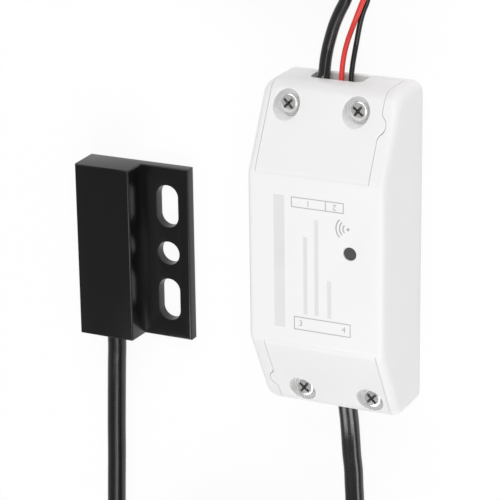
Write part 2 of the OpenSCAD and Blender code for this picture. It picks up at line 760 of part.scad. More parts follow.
module radio_shield() {
    color("silver") translate(radio_place + [shield_margin, shield_margin, radio_size.z]) cube(shield_size);
}
module status_lamp() {
    color("lightgreen") translate([button_x, button_y, board_top] + lamp_offset) cube(lamp_size);
}
module tact_switch() {
    color("black") translate([button_x, button_y, board_top]) difference() {
        translate([-switch_size / 2, -switch_size / 2, 0]) cube([switch_size, switch_size, switch_height]);
        translate([0, 0, switch_height - plunger_well])
            cylinder(d = plunger_d + 2 * button_clearance, h = plunger_well + past);
    }
}
module tact_plunger() {
    color("white") translate([button_x, button_y, board_top + switch_height - plunger_sink])
        cylinder(d = plunger_d, h = plunger_rise + plunger_sink);
}

module relay_box(inset, bottom, top) {
    translate([relay_x - relay_width / 2 + inset, relay_y - relay_length / 2 + inset, bottom])
        cube([relay_width - 2 * inset, relay_length - 2 * inset, top - bottom]);
}
module relay_base() {
    color("black") relay_box(0, relay_z, relay_z + relay_base_h);
}
module relay_case() {
    color("royalblue") difference() {
        relay_box(0, relay_z + relay_base_h, relay_z + relay_height);
        relay_box(relay_wall, relay_z + relay_base_h - past, relay_z + relay_height - relay_wall);
    }
}
module relay_winding() {
    color("chocolate") translate([relay_x, coil_y, yoke_floor + winding_gap]) difference() {
        union() {
            cylinder(d = coil_d - bobbin_step, h = winding_h);
            cylinder(d = coil_d, h = bobbin_flange);
            translate([0, 0, winding_h - bobbin_flange]) cylinder(d = coil_d, h = bobbin_flange);
        }
        translate([0, 0, -past]) cylinder(d = core_d + 2 * winding_gap, h = winding_h + 2 * past);
    }
}
module relay_core() {
    color("silver") translate([relay_x, coil_y, yoke_floor]) {
        cylinder(d = core_d, h = pole_top - yoke_floor - pole_h / 2);
        translate([0, 0, pole_top - yoke_floor - pole_h]) cylinder(d = pole_d, h = pole_h);
    }
}
module relay_yoke() {
    back = hinge_y + iron_thickness / 2;
    front = coil_y - core_d;
    color("gray") translate([relay_x - iron_width / 2, 0, 0]) {
        translate([0, front, yoke_floor - iron_thickness])
            cube([iron_width, back - front, iron_thickness]);
        translate([0, back - iron_thickness, yoke_floor - iron_thickness])
            cube([iron_width, iron_thickness, armature_z - hinge_gap - yoke_floor + iron_thickness]);
    }
}
module relay_armature() {
    color("lightgray") translate([relay_x, 0, armature_z]) {
        translate([-iron_width / 2, coil_y - pole_d / 2 - armature_lip, 0])
            cube([iron_width, hinge_y + hinge_overhang - coil_y + pole_d / 2 + armature_lip, iron_thickness]);
        translate([-leaf_width / 2, contact_y - contact_d / 2, iron_thickness - leaf_thickness])
            cube([leaf_width, coil_y - pole_d / 2 - contact_y + contact_d / 2, leaf_thickness]);
        translate([0, contact_y, iron_thickness - leaf_thickness - contact_h])
            cylinder(d = contact_d, h = contact_h);
    }
}
module relay_contact() {
    top = armature_z + iron_thickness - leaf_thickness - contact_h - contact_gap;
    foot = relay_z + relay_base_h;
    color("goldenrod") translate([relay_x, contact_y, 0]) {
        translate([-leaf_width / 2, -blade_thickness / 2, foot])
            cube([leaf_width, blade_thickness, top - contact_h / 2 - foot]);
        translate([0, 0, top - contact_h]) cylinder(d = contact_d, h = contact_h);
    }
}

module slot(length, width) {
    union() {
        for (s = [-1, 1]) translate([0, s * (length - width) / 2, -past])
            cylinder(d = width, h = flange_thickness + 2 * past);
        translate([-width / 2, -(length - width) / 2, -past])
            cube([width, length - width, flange_thickness + 2 * past]);
    }
}
module sensor_housing() {
    color([0.08, 0.08, 0.08]) difference() {
        translate([sensor_x, sensor_y + sensor_length / 2, 0]) rotate([90, 0, 0])
            linear_extrude(sensor_length)
                polygon([[0, 0], [sensor_width, 0], [sensor_width, flange_thickness],
                    [block_width, flange_thickness], [block_width - block_draft, block_depth],
                    [block_draft, block_depth]]);
        translate([potting_x, sensor_y - potting_length / 2, -past])
            cube([potting_width, potting_length, potting_depth + past]);
        for (s = [-1, 1])
            translate([hole_x, sensor_y + s * slot_spacing / 2, 0]) slot(slot_length, slot_width);
        translate([hole_x, sensor_y, -past]) cylinder(d = flange_hole_d, h = flange_thickness + 2 * past);
        translate([pigtail_x, pigtail_start + 0.1, pigtail_z]) rotate([90, 0, 0])
            cylinder(d = pigtail_d + 2 * bore_clearance, h = sensor_wall + past);
    }
}
// Leads of the reed switch run along the sensor, one on each side of its glass
module reed_lead_pair(d) {
    lead = potting_length / 2 - reed_length / 2 - 4;
    for (s = [-1, 1])
        translate([sensor_mid, sensor_y + s * (reed_length / 2 + lead / 2), reed_z]) rotate([90, 0, 0])
            cylinder(d = d, h = lead, center = true);
}
module reed_body(d, h) {
    translate([sensor_mid, sensor_y, reed_z]) rotate([90, 0, 0]) cylinder(d = d, h = h, center = true);
}
module sensor_potting() {
    color([0.15, 0.15, 0.16]) difference() {
        translate([potting_x, sensor_y - potting_length / 2, 0])
            cube([potting_width, potting_length, potting_depth]);
        reed_body(reed_d, reed_length);
        reed_lead_pair(reed_lead_d);
    }
}
module reed_glass() {
    color("lightblue") reed_body(reed_d, reed_length);
}
module reed_leads() {
    color("silver") reed_lead_pair(reed_lead_d);
}

// A tie is a flat band round a coil's turns, at one place on its ring
module coil_tie(c, w, t, angle, width) {
    radii = radii_at(c, angle);
    inner = min(radii) - w / 2 - tie_clearance;
    outer = max(radii) + w / 2 + tie_clearance;
    low = c[6] - t / 2 - tie_clearance;
    high = c[6] + c[5] * (c[4] - 1) + t / 2 + tie_clearance;
    translate([c[0].x, c[0].y, 0]) rotate([0, 0, angle]) difference() {
        translate([inner - tie_thickness, -width / 2, low - tie_thickness])
            cube([outer - inner + 2 * tie_thickness, width, high - low + 2 * tie_thickness]);
        translate([inner, -width / 2 - past, low]) cube([outer - inner, width + 2 * past, high - low]);
    }
}

module mains_lead() {
    path = smooth_path(mains_route, 2);
    color([0.1, 0.1, 0.1]) tube(path, mains_width, mains_thickness, [for (p = path) mains_roll(p)], 10);
}
module mains_lead_coil() {
    path = coil_path(mains_coil, mains_width);
    echo(mains_coil_gap = self_gap(path, mains_width, mains_thickness, edge_roll, 6),
        length = path_length(path));
    color([0.1, 0.1, 0.1]) tube(path, mains_width, mains_thickness, [for (p = path) edge_roll], 6);
}
module mains_lead_tail() {
    path = smooth_path(mains_tail_route, 2);
    last = len(path) - 1;
    color([0.1, 0.1, 0.1]) tube(path, mains_width, mains_thickness,
        [for (i = [0:last]) edge_roll * (1 - clamp01((i - 3) / (last - 5)))], 10);
}
module mains_coil_tie() {
    color("black") coil_tie(mains_coil, mains_thickness, mains_width, 45, tie_width);
}
// Flat two pin plug whose body narrows to the cord
module mains_plug() {
    neck = mains_width + 3;
    color([0.1, 0.1, 0.1]) translate(plug_rear) intersection() {
        translate([0, 0, -plug_height / 2]) linear_extrude(plug_height)
            polygon([[0, -neck / 2], [plug_neck_end, -neck / 2], [plug_body_start, -plug_width / 2],
                [plug_length, -plug_width / 2], [plug_length, plug_width / 2],
                [plug_body_start, plug_width / 2], [plug_neck_end, neck / 2], [0, neck / 2]]);
        rotate([90, 0, 0]) translate([0, 0, -plug_width / 2]) linear_extrude(plug_width)
            polygon([[0, -mains_thickness], [plug_shoulder, -plug_height / 2],
                [plug_length, -plug_height / 2], [plug_length, plug_height / 2],
                [plug_shoulder, plug_height / 2], [0, mains_thickness]]);
    }
}
module mains_plug_pins() {
    color("silver") for (s = [-1, 1])
        translate(plug_rear + [plug_length, s * pin_spacing / 2, 0]) rotate([0, 90, 0]) {
            cylinder(d = pin_d, h = pin_length - pin_d / 4);
            translate([0, 0, pin_length - pin_d / 4]) cylinder(d1 = pin_d, d2 = pin_d / 2, h = pin_d / 4);
        }
}

module sensor_lead() {
    color([0.1, 0.1, 0.1]) round_tube(smooth_path(lead_route, 2), lead_d, 8);
}
module sensor_lead_coil() {
    path = coil_path(lead_coil, lead_d);
    echo(sensor_lead_coil_gap = self_gap(path, lead_d, lead_d, 0, 6), length = path_length(path));
    color([0.1, 0.1, 0.1]) round_tube(path, lead_d, 6);
}
module sensor_lead_tail() {
    color([0.1, 0.1, 0.1]) round_tube(smooth_path(lead_tail_route, 2), lead_d, 8);
}
module sensor_coil_tie() {
    color("black") coil_tie(lead_coil, lead_d, lead_d, 215, tie_width);
}
// A small round connector along +X from its cable end: a tapered boot and a body
module connector(cable_d) {
    rotate([0, 90, 0]) {
        cylinder(d1 = cable_d + boot_wall, d2 = connector_d - boot_wall, h = boot_length);
        translate([0, 0, boot_length]) cylinder(d = connector_d, h = connector_length);
    }
}
module connector_pins(start, d, h) {
    for (s = [-1, 1])
        translate([start, s * socket_pin_spacing / 2, 0]) rotate([0, 90, 0]) cylinder(d = d, h = h);
}
module lead_socket() {
    front = boot_length + connector_length;
    color([0.1, 0.1, 0.1]) translate(socket_rear) difference() {
        union() {
            connector(lead_d);
            translate([front, 0, 0]) rotate([0, 90, 0]) cylinder(d = nose_d, h = nose_length);
        }
        connector_pins(front, socket_pin_d + 2 * mate_clearance, nose_length + past);
    }
}
module sensor_pigtail() {
    color([0.1, 0.1, 0.1]) round_tube(smooth_path(pigtail_route, 2), pigtail_d, 10);
}
module sensor_plug() {
    color([0.1, 0.1, 0.1]) translate(plug_back) rotate([0, 0, -90])
        difference() {
            connector(pigtail_d);
            translate([boot_length + connector_length - plug_recess, 0, 0]) rotate([0, 90, 0])
                cylinder(d = nose_d + 2 * mate_clearance, h = plug_recess + past);
        }
}
module sensor_plug_pins() {
    color("gold") translate(plug_back) rotate([0, 0, -90])
        connector_pins(boot_length + connector_length - plug_recess, socket_pin_d, nose_length - 1);
}

module output_wire_red() {
    color("red") round_tube(smooth_path(red_route, 2), wire_d, 8);
}
module output_wire_black() {
    color([0.1, 0.1, 0.1]) round_tube(smooth_path(black_route, 2), wire_d, 8);
}
module output_red_coil() {
    path = coil_path(red_coil, wire_d);
    echo(output_red_coil_gap = self_gap(path, wire_d, wire_d, 0, 6), length = path_length(path));
    color("red") round_tube(path, wire_d, 6);
}
module output_black_coil() {
    path = coil_path(black_coil, wire_d);
    echo(output_black_coil_gap = self_gap(path, wire_d, wire_d, 0, 6), length = path_length(path));
    color([0.1, 0.1, 0.1]) round_tube(path, wire_d, 6);
}
module output_wire_tips() {
    color("silver") for (c = [red_coil, black_coil])
        translate(coil_end(c, wire_d)) rotate([0, 90, 0]) cylinder(d = tip_d, h = tip_length);
}
module output_coil_ties() {
    color("black") for (c = [red_coil, black_coil]) coil_tie(c, wire_d, wire_d, 300, tie_width / 2);
}

housing();
back_plate();
output_end_cover();
mains_end_cover();
cover_screws();
pairing_button();
circuit_board();
output_terminal_block();
mains_terminal_block();
terminal_screws();
terminal_wires();
fuse();
rectifier();
transformer_core();
transformer_winding();
smoothing_capacitors();
radio_module();
radio_shield();
status_lamp();
tact_switch();
tact_plunger();
relay_base();
relay_case();
relay_winding();
relay_core();
relay_yoke();
relay_armature();
relay_contact();
sensor_housing();
sensor_potting();
reed_glass();
reed_leads();
mains_lead();
mains_lead_coil();
mains_lead_tail();
mains_coil_tie();
mains_plug();
mains_plug_pins();
sensor_lead();
sensor_lead_coil();
sensor_lead_tail();
sensor_coil_tie();
lead_socket();
sensor_pigtail();
sensor_plug();
sensor_plug_pins();
output_wire_red();
output_wire_black();
output_red_coil();
output_black_coil();
output_wire_tips();
output_coil_ties();
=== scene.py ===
"""Looks of a garage door controller and its wired door sensor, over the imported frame."""

import json
import logging
import math
from collections.abc import Callable, Iterable, Sequence
from dataclasses import dataclass, field
from enum import Enum
from typing import ClassVar

import bmesh
import bpy
from mathutils import Matrix, Vector


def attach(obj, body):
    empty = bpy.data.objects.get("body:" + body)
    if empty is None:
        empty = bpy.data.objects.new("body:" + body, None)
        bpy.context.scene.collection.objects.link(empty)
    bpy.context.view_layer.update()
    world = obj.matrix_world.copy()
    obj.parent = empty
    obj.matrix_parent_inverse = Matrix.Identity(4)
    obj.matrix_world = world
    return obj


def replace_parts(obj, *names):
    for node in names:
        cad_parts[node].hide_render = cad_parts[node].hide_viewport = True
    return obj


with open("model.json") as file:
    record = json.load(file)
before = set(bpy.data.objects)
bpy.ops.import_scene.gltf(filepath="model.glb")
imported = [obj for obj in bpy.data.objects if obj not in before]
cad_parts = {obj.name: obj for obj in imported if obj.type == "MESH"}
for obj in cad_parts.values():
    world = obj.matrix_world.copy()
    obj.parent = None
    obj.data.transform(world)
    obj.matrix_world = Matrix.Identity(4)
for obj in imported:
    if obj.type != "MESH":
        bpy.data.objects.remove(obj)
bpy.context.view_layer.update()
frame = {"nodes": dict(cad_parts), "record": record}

LOG = logging.getLogger("controller")
MM = 0.001
QUARTER = math.pi / 2
ALONG_X = Matrix.Rotation(QUARTER, 4, "Y")
ALONG_BACK_Y = Matrix.Rotation(QUARTER, 4, "X")
EVEN = (1.0, 1.0, 1.0)
BRUSH_STRETCH = (1.0, 12.0, 1.0)
DRAWN_STRETCH = (0.15, 1.0, 1.0)
MOTTLE_MM = 9.0
GLOSS_SPREAD = 0.06
RELIEF_SHARE = 0.25
WAVE_RADIANS = 20.0
ROUND_SIDES = 48
# name of the face attribute that marks where a screw's cross recess gets painted shade
RECESS_SHADE_MARK = "recess"
MAINS_WIDTH = 5.4
MAINS_THICKNESS = 3.2
LEAD_WIDTH = 3.2
PIGTAIL_WIDTH = 5.2
WIRE_WIDTH = 1.4
CORE_WIDTH = 1.0
Piece = bpy.types.Object
Colour = tuple[float, float, float]


class Body(Enum):
    """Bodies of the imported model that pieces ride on."""

    BASE = "base"
    BUTTON = "pairing_button"


class Grain(Enum):
    """How the fine relief of a finish runs."""

    SPARK = "even texture of a spark eroded mould"
    BRUSHED = "fine lines along one way"
    WOUND = "turns of wire stacked along Z"
    DRAWN = "streaks along a cord"


@dataclass(frozen=True)
class Finish:
    """A surface finish: its colour, its gloss, its fine relief and how much painted shade darkens its
    recesses.
    """

    name: str
    colour: Colour
    roughness: float
    grain: Grain = Grain.SPARK
    grain_mm: float = 0.35
    relief: float = 0.12
    mottle: float = 0.04
    metallic: float = 0.0
    specular: float = 0.5
    coat: float = 0.0
    transmission: float = 0.0
    # share of the colour taken off as painted shade on faces that a piece marks as recessed
    recess: float = 0.0

    def material(self) -> bpy.types.Material:
        """Make the finish's material, once.

        Returns:
            The node material, on Object coordinates or on a cord's own UV map.
        """
        title = f"{self.name}_finish"
        known = bpy.data.materials.get(title)
        if known:
            return known
        material = bpy.data.materials.new(title)
        material.use_nodes = True
        tree = material.node_tree
        shader = tree.nodes["Principled BSDF"]
        shader.inputs["Metallic"].default_value = self.metallic
        shader.inputs["Specular IOR Level"].default_value = self.specular
        shader.inputs["Coat Weight"].default_value = self.coat
        shader.inputs["Transmission Weight"].default_value = self.transmission
        fine = self._fine(tree)
        broad = self._noise(tree, self._place(tree, "Object", EVEN), MOTTLE_MM, 3.0)
        tree.links.new(self._shades(tree, broad), shader.inputs["Base Color"])
        spread = tree.nodes.new("ShaderNodeMapRange")
        spread.inputs["To Min"].default_value = max(0.03, self.roughness - GLOSS_SPREAD)
        spread.inputs["To Max"].default_value = min(1.0, self.roughness + GLOSS_SPREAD)
        tree.links.new(fine, spread.inputs["Value"])
        tree.links.new(spread.outputs["Result"], shader.inputs["Roughness"])
        bump = tree.nodes.new("ShaderNodeBump")
        bump.inputs["Strength"].default_value = self.relief
        bump.inputs["Distance"].default_value = self.grain_mm * MM * RELIEF_SHARE
        tree.links.new(fine, bump.inputs["Height"])
        tree.links.new(bump.outputs["Normal"], shader.inputs["Normal"])
        return material

    @staticmethod
    def _place(tree: bpy.types.NodeTree, space: str, scale: Sequence[float]) -> bpy.types.NodeSocket:
        """Coordinates that a pattern is laid in.

        Args:
            tree: The material's node tree.
            space: Object or UV.
            scale: Stretch of the pattern along each axis.

        Returns:
            The mapped coordinates.
        """
        source = tree.nodes.new("ShaderNodeTexCoord")
        mapping = tree.nodes.new("ShaderNodeMapping")
        mapping.inputs["Scale"].default_value = scale
        tree.links.new(source.outputs[space], mapping.inputs["Vector"])
        return mapping.outputs["Vector"]

    @staticmethod
    def _noise(
        tree: bpy.types.NodeTree, place: bpy.types.NodeSocket, size_mm: float, detail: float
    ) -> bpy.types.NodeSocket:
        """A noise pattern.

        Args:
            tree: The material's node tree.
            place: Coordinates to lay it in.
            size_mm: Size of its features.
            detail: How many finer layers it has.

        Returns:
            The noise's value.
        """
        noise = tree.nodes.new("ShaderNodeTexNoise")
        noise.inputs["Scale"].default_value = 1.0 / (size_mm * MM)
        noise.inputs["Detail"].default_value = detail
        tree.links.new(place, noise.inputs["Vector"])
        return noise.outputs["Fac"]

    def _fine(self, tree: bpy.types.NodeTree) -> bpy.types.NodeSocket:
        """The fine pattern that the finish's grain calls for.

        Args:
            tree: The material's node tree.

        Returns:
            The pattern's value.
        """
        if self.grain is Grain.WOUND:
            wave = tree.nodes.new("ShaderNodeTexWave")
            wave.bands_direction = "Z"
            wave.inputs["Scale"].default_value = 2 * math.pi / (WAVE_RADIANS * self.grain_mm * MM)
            wave.inputs["Distortion"].default_value = 0.4
            tree.links.new(self._place(tree, "Object", EVEN), wave.inputs["Vector"])
            return wave.outputs["Fac"]
        if self.grain is Grain.BRUSHED:
            return self._noise(tree, self._place(tree, "Object", BRUSH_STRETCH), self.grain_mm * 4, 2.0)
        if self.grain is Grain.DRAWN:
            return self._noise(tree, self._place(tree, "UV", DRAWN_STRETCH), self.grain_mm, 3.0)
        return self._noise(tree, self._place(tree, "Object", EVEN), self.grain_mm, 2.0)

    def _shades(self, tree: bpy.types.NodeTree, broad: bpy.types.NodeSocket) -> bpy.types.NodeSocket:
        """The base colour with its slow variation, with painted shade on faces that the piece marks as
        recessed.

        Args:
            tree: The material's node tree.
            broad: A slow pattern from 0 to 1.

        Returns:
            The colour socket.
        """
        mix = tree.nodes.new("ShaderNodeMix")
        mix.data_type = "RGBA"
        mix.inputs["A"].default_value = (*(c * (1 - self.mottle) for c in self.colour), 1)
        mix.inputs["B"].default_value = (*(min(1.0, c * (1 + self.mottle)) for c in self.colour), 1)
        tree.links.new(broad, mix.inputs["Factor"])
        if not self.recess:
            return mix.outputs["Result"]
        # painted shade: the colour of faces marked as recessed is darkened
        mark = tree.nodes.new("ShaderNodeAttribute")
        mark.attribute_name = RECESS_SHADE_MARK
        deep = tree.nodes.new("ShaderNodeMix")
        deep.data_type = "RGBA"
        deep.inputs["B"].default_value = (*(c * (1 - self.recess) for c in self.colour), 1)
        tree.links.new(mix.outputs["Result"], deep.inputs["A"])
        tree.links.new(mark.outputs["Fac"], deep.inputs["Factor"])
        return deep.outputs["Result"]


HOUSING_WHITE = Finish("housing_white", (0.86, 0.86, 0.86), 0.42, grain_mm=0.22, relief=0.1, mottle=0.008)
# the screws' cross recesses get painted shade, their colour cut by 0.4
SCREW_STEEL = Finish("screw_steel", (0.9, 0.89, 0.88), 0.22, Grain.BRUSHED, 0.12, 0.2, 0.05, metallic=0.75,
                     recess=0.4)
BUTTON_GREY = Finish("button_grey", (0.066, 0.066, 0.068), 0.5, grain_mm=0.15, relief=0.2)
PRINT_GREY = Finish("print_grey", (0.42, 0.42, 0.43), 0.6, grain_mm=0.12, relief=0.1, mottle=0.1)
PRINT_PALE = Finish("print_pale", (0.73, 0.73, 0.735), 0.6, grain_mm=0.12, relief=0.1, mottle=0.06)
BOARD_GREEN = Finish("board_green", (0.02, 0.14, 0.05), 0.35, grain_mm=0.5, relief=0.2, mottle=0.12, coat=0.3)
TERMINAL_GREEN = Finish("terminal_green", (0.04, 0.26, 0.1), 0.35, relief=0.1)
TINNED_COPPER = Finish("tinned_copper", (0.68, 0.67, 0.66), 0.28, Grain.BRUSHED, 0.1, 0.2, metallic=1.0)
BLACK_PLASTIC = Finish("black_plastic", (0.016, 0.016, 0.016), 0.5, relief=0.25)
FERRITE = Finish("ferrite", (0.04, 0.04, 0.043), 0.75, grain_mm=0.2, relief=0.5, mottle=0.2)
COPPER_WIRE = Finish("copper_wire", (0.5, 0.2, 0.07), 0.3, Grain.WOUND, 0.35, 0.8, 0.1, metallic=0.9)
CAPACITOR_SLEEVE = Finish("capacitor_sleeve", (0.012, 0.02, 0.07), 0.25, relief=0.1, coat=0.3)
LAMP_LENS = Finish("lamp_lens", (0.4, 0.8, 0.45), 0.15, relief=0.05, transmission=0.4)
RELAY_BLUE = Finish("relay_blue", (0.015, 0.06, 0.28), 0.28, relief=0.1)
RELAY_IRON = Finish("relay_iron", (0.45, 0.44, 0.42), 0.35, Grain.BRUSHED, 0.15, 0.3, 0.08, metallic=1.0)
CONTACT_BRASS = Finish("contact_brass", (0.72, 0.5, 0.17), 0.25, Grain.BRUSHED, 0.12, 0.2, 0.08, metallic=1.0)
POTTING = Finish("potting", (0.012, 0.012, 0.013), 0.22, grain_mm=3.0, relief=0.4, mottle=0.1)
REED_GLASS = Finish("reed_glass", (0.75, 0.88, 0.82), 0.05, relief=0.03, transmission=0.9)
TIE_BLACK = Finish("tie_black", (0.014, 0.014, 0.014), 0.5, Grain.BRUSHED, 0.2, 0.4)
PLUG_BLACK = Finish("plug_black", (0.012, 0.012, 0.012), 0.42, grain_mm=0.3, relief=0.25, specular=0.35)
PIN_NICKEL = Finish("pin_nickel", (0.66, 0.65, 0.62), 0.18, Grain.BRUSHED, 0.1, 0.15, metallic=1.0)
CORD_BLACK = Finish("cord_black", (0.008, 0.008, 0.008), 0.28, Grain.DRAWN, 0.6, 0.1, 0.1, specular=0.9)
LEAD_BLACK = Finish("lead_black", (0.02, 0.02, 0.02), 0.14, Grain.DRAWN, 0.5, 0.1, 0.1)
SHEATH_BLACK = Finish("sheath_black", (0.006, 0.006, 0.006), 0.25, Grain.DRAWN, 0.5, 0.1, 0.1, specular=0.5)
WIRE_RED = Finish("wire_red", (0.85, 0.05, 0.04), 0.32, Grain.DRAWN, 0.4, 0.1, 0.06)
WIRE_BLACK = Finish("wire_black", (0.012, 0.012, 0.012), 0.18, Grain.DRAWN, 0.4, 0.1, 0.1)
SENSOR_BLACK = Finish("sensor_black", (0.0035, 0.0035, 0.0036), 0.24, grain_mm=0.16, relief=0.08, mottle=0.1)


class Bench:
    """Hand tools for one piece at a time. Sizes are in millimetres."""

    @staticmethod
    def clear() -> None:
        """Leave edit mode and deselect everything."""
        if bpy.context.object and bpy.context.object.mode != "OBJECT":
            bpy.ops.object.mode_set(mode="OBJECT")
        bpy.ops.object.select_all(action="DESELECT")

    @staticmethod
    def take(piece: Piece) -> Piece:
        """Select one piece alone and make it active.

        Args:
            piece: The piece.

        Returns:
            The piece.
        """
        Bench.clear()
        piece.select_set(True)
        bpy.context.view_layer.objects.active = piece
        return piece

    @staticmethod
    def name(piece: Piece, name: str) -> Piece:
        """Name a piece and its mesh.

        Args:
            piece: The piece.
            name: The name.

        Returns:
            The piece.
        """
        piece.name = name
        piece.data.name = name
        return piece

    @staticmethod
    def block(name: str, low: Sequence[float], high: Sequence[float]) -> Piece:
        """Start a piece from a block.

        Args:
            name: The piece's name.
            low: Its lowest corner.
            high: Its highest corner.

        Returns:
            The piece.
        """
        Bench.clear()
        low_m, high_m = Vector(low) * MM, Vector(high) * MM
        bpy.ops.mesh.primitive_cube_add(size=1, location=(low_m + high_m) / 2)
        bpy.ops.transform.resize(value=high_m - low_m)
        bpy.ops.object.transform_apply(location=True, rotation=True, scale=True)
        return Bench.name(bpy.context.object, name)

    @staticmethod
    def prism(name: str, outline: Sequence[Sequence[float]], along: Sequence[float]) -> Piece:
        """Start a piece from a flat outline that is extruded.

        Args:
            name: The piece's name.
            outline: Corners of the flat outline, each a point.
            along: The extrusion, as a vector.

        Returns:
            The closed piece.
        """
        Bench.clear()
        bpy.ops.mesh.primitive_circle_add(vertices=len(outline), radius=1, fill_type="NGON")
        piece = Bench.name(bpy.context.object, name)
        for vertex, corner in zip(piece.data.vertices, outline):
            vertex.co = Vector(corner) * MM
        bpy.ops.object.mode_set(mode="EDIT")
        bpy.ops.mesh.select_all(action="SELECT")
        bpy.ops.mesh.extrude_region_move(TRANSFORM_OT_translate={"value": Vector(along) * MM})
        return Bench.face_out(piece)

    @staticmethod
    def turned(
        name: str, profile: Sequence[Sequence[float]], place: Matrix, sides: int = ROUND_SIDES
    ) -> Piece:
        """Turn a piece round Z by extruding and scaling a circle, then set it in its place.

        Args:
            name: The piece's name.
            profile: Radius and height of each step, from the bottom up.
            place: Where the turned piece goes, with its shift in millimetres.
            sides: How many sides the circle has.

        Returns:
            The closed piece.
        """
        Bench.clear()
        bpy.ops.mesh.primitive_circle_add(vertices=sides, radius=profile[0][0] * MM, fill_type="NGON")
        piece = Bench.name(bpy.context.object, name)
        bpy.ops.object.mode_set(mode="EDIT")
        bpy.ops.mesh.select_all(action="SELECT")
        for (radius, height), (next_radius, next_height) in zip(profile, profile[1:]):
            bpy.ops.mesh.extrude_region_move(
                TRANSFORM_OT_translate={"value": (0, 0, (next_height - height) * MM)}
            )
            ratio = next_radius / radius
            bpy.ops.transform.resize(value=(ratio, ratio, 1), center_override=(0, 0, 0))
        Bench.face_out(piece)
        shift = place.to_translation() + place.to_3x3() @ Vector((0, 0, profile[0][1]))
        piece.data.transform(Matrix.Translation(shift * MM) @ place.to_3x3().to_4x4())
        return piece

    @staticmethod
    def face_out(piece: Piece) -> Piece:
        """Merge doubles and turn all faces outwards.

        Args:
            piece: The piece.

        Returns:
            The piece.
        """
        Bench.take(piece)
        bpy.ops.object.mode_set(mode="EDIT")
        bpy.ops.mesh.select_all(action="SELECT")
        bpy.ops.mesh.remove_doubles(threshold=1e-6)
        bpy.ops.mesh.normals_make_consistent(inside=False)
        bpy.ops.object.mode_set(mode="OBJECT")
        return piece

    @staticmethod
    def bevel(piece: Piece, pick: Callable[[bmesh.types.BMEdge], bool], width: float, segments: int) -> Piece:
        """Round chosen edges.

        Args:
            piece: The piece.
            pick: Says whether an edge is rounded.
            width: Width of the rounding.
            segments: How many steps it has.

        Returns:
            The piece.
        """
        Bench.take(piece)
        bpy.ops.object.mode_set(mode="EDIT")
        bpy.ops.mesh.select_mode(type="EDGE")
        bpy.ops.mesh.select_all(action="DESELECT")
        mesh = bmesh.from_edit_mesh(piece.data)
        for edge in mesh.edges:
            edge.select_set(len(edge.link_faces) == 2 and pick(edge))
        mesh.select_flush_mode()
        bmesh.update_edit_mesh(piece.data)
        bpy.ops.mesh.bevel(offset=width * MM, segments=segments, affect="EDGES", clamp_overlap=True)
        bpy.ops.object.mode_set(mode="OBJECT")
        return piece

    @staticmethod
    def weighted_bevel(
        piece: Piece, weigh: Callable[[bmesh.types.BMEdge], float], width: float, segments: int
    ) -> Piece:
        """Round edges by different amounts with a modifier that is applied.

        Args:
            piece: The piece.
            weigh: Gives an edge's share of the width, from 0 to 1.
            width: Width of the rounding at a share of 1.
            segments: How many steps it has.

        Returns:
            The piece.
        """
        Bench.take(piece)
        mesh = bmesh.new()
        mesh.from_mesh(piece.data)
        layer = mesh.edges.layers.float.new("bevel_weight_edge")
        for edge in mesh.edges:
            edge[layer] = weigh(edge)
        mesh.to_mesh(piece.data)
        mesh.free()
        modifier = piece.modifiers.new("soften", "BEVEL")
        modifier.limit_method = "WEIGHT"
        modifier.width = width * MM
        modifier.segments = segments
        modifier.use_clamp_overlap = False
        bpy.ops.object.modifier_apply(modifier="soften")
        return piece

    @staticmethod
    def slice(piece: Piece, point: Sequence[float], normal: Sequence[float]) -> Piece:
        """Cut a piece by a plane and close it, and drop what lies on the normal's side.

        Args:
            piece: The piece.
            point: A point of the plane.
            normal: The plane's normal.

        Returns:
            The piece.
        """
        Bench.take(piece)
        bpy.ops.object.mode_set(mode="EDIT")
        bpy.ops.mesh.select_all(action="SELECT")
        bpy.ops.mesh.bisect(
            plane_co=Vector(point) * MM, plane_no=normal, use_fill=True, clear_outer=True, threshold=1e-7
        )
        bpy.ops.object.mode_set(mode="OBJECT")
        return piece

    @staticmethod
    def combine(piece: Piece, tools: Iterable[Piece], operation: str = "DIFFERENCE") -> Piece:
        """Cut, join or trim a piece with others, which are used up.

        Args:
            piece: The piece.
            tools: The other pieces.
            operation: DIFFERENCE, UNION or INTERSECT.

        Returns:
            The piece.
        """
        for tool in tools:
            Bench.take(piece)
            modifier = piece.modifiers.new("combine", "BOOLEAN")
            modifier.operation = operation
            modifier.solver = "EXACT"
            modifier.object = tool
            bpy.ops.object.modifier_apply(modifier="combine")
            bpy.data.objects.remove(tool)
        return piece

    @staticmethod
    def copy(piece: Piece, name: str, place: Matrix) -> Piece:
        """Copy a piece with a mesh of its own.

        Args:
            piece: The piece to copy.
            name: The copy's name.
            place: Move of the copy, with its shift in millimetres.

        Returns:
            The copy.
        """
        twin = piece.copy()
        twin.data = piece.data.copy()
        bpy.context.scene.collection.objects.link(twin)
        turn = place.to_3x3().to_4x4()
        twin.data.transform(Matrix.Translation(place.to_translation() * MM) @ turn)
        return Bench.name(twin, name)

    @staticmethod
    def join(name: str, pieces: Sequence[Piece]) -> Piece:
        """Join pieces into the first of them.

        Args:
            name: Name of the joined piece.
            pieces: The pieces.

        Returns:
            The joined piece.
        """
        Bench.clear()
        for piece in pieces:
            piece.select_set(True)
        bpy.context.view_layer.objects.active = pieces[0]
        bpy.ops.object.join()
        return Bench.name(bpy.context.object, name)

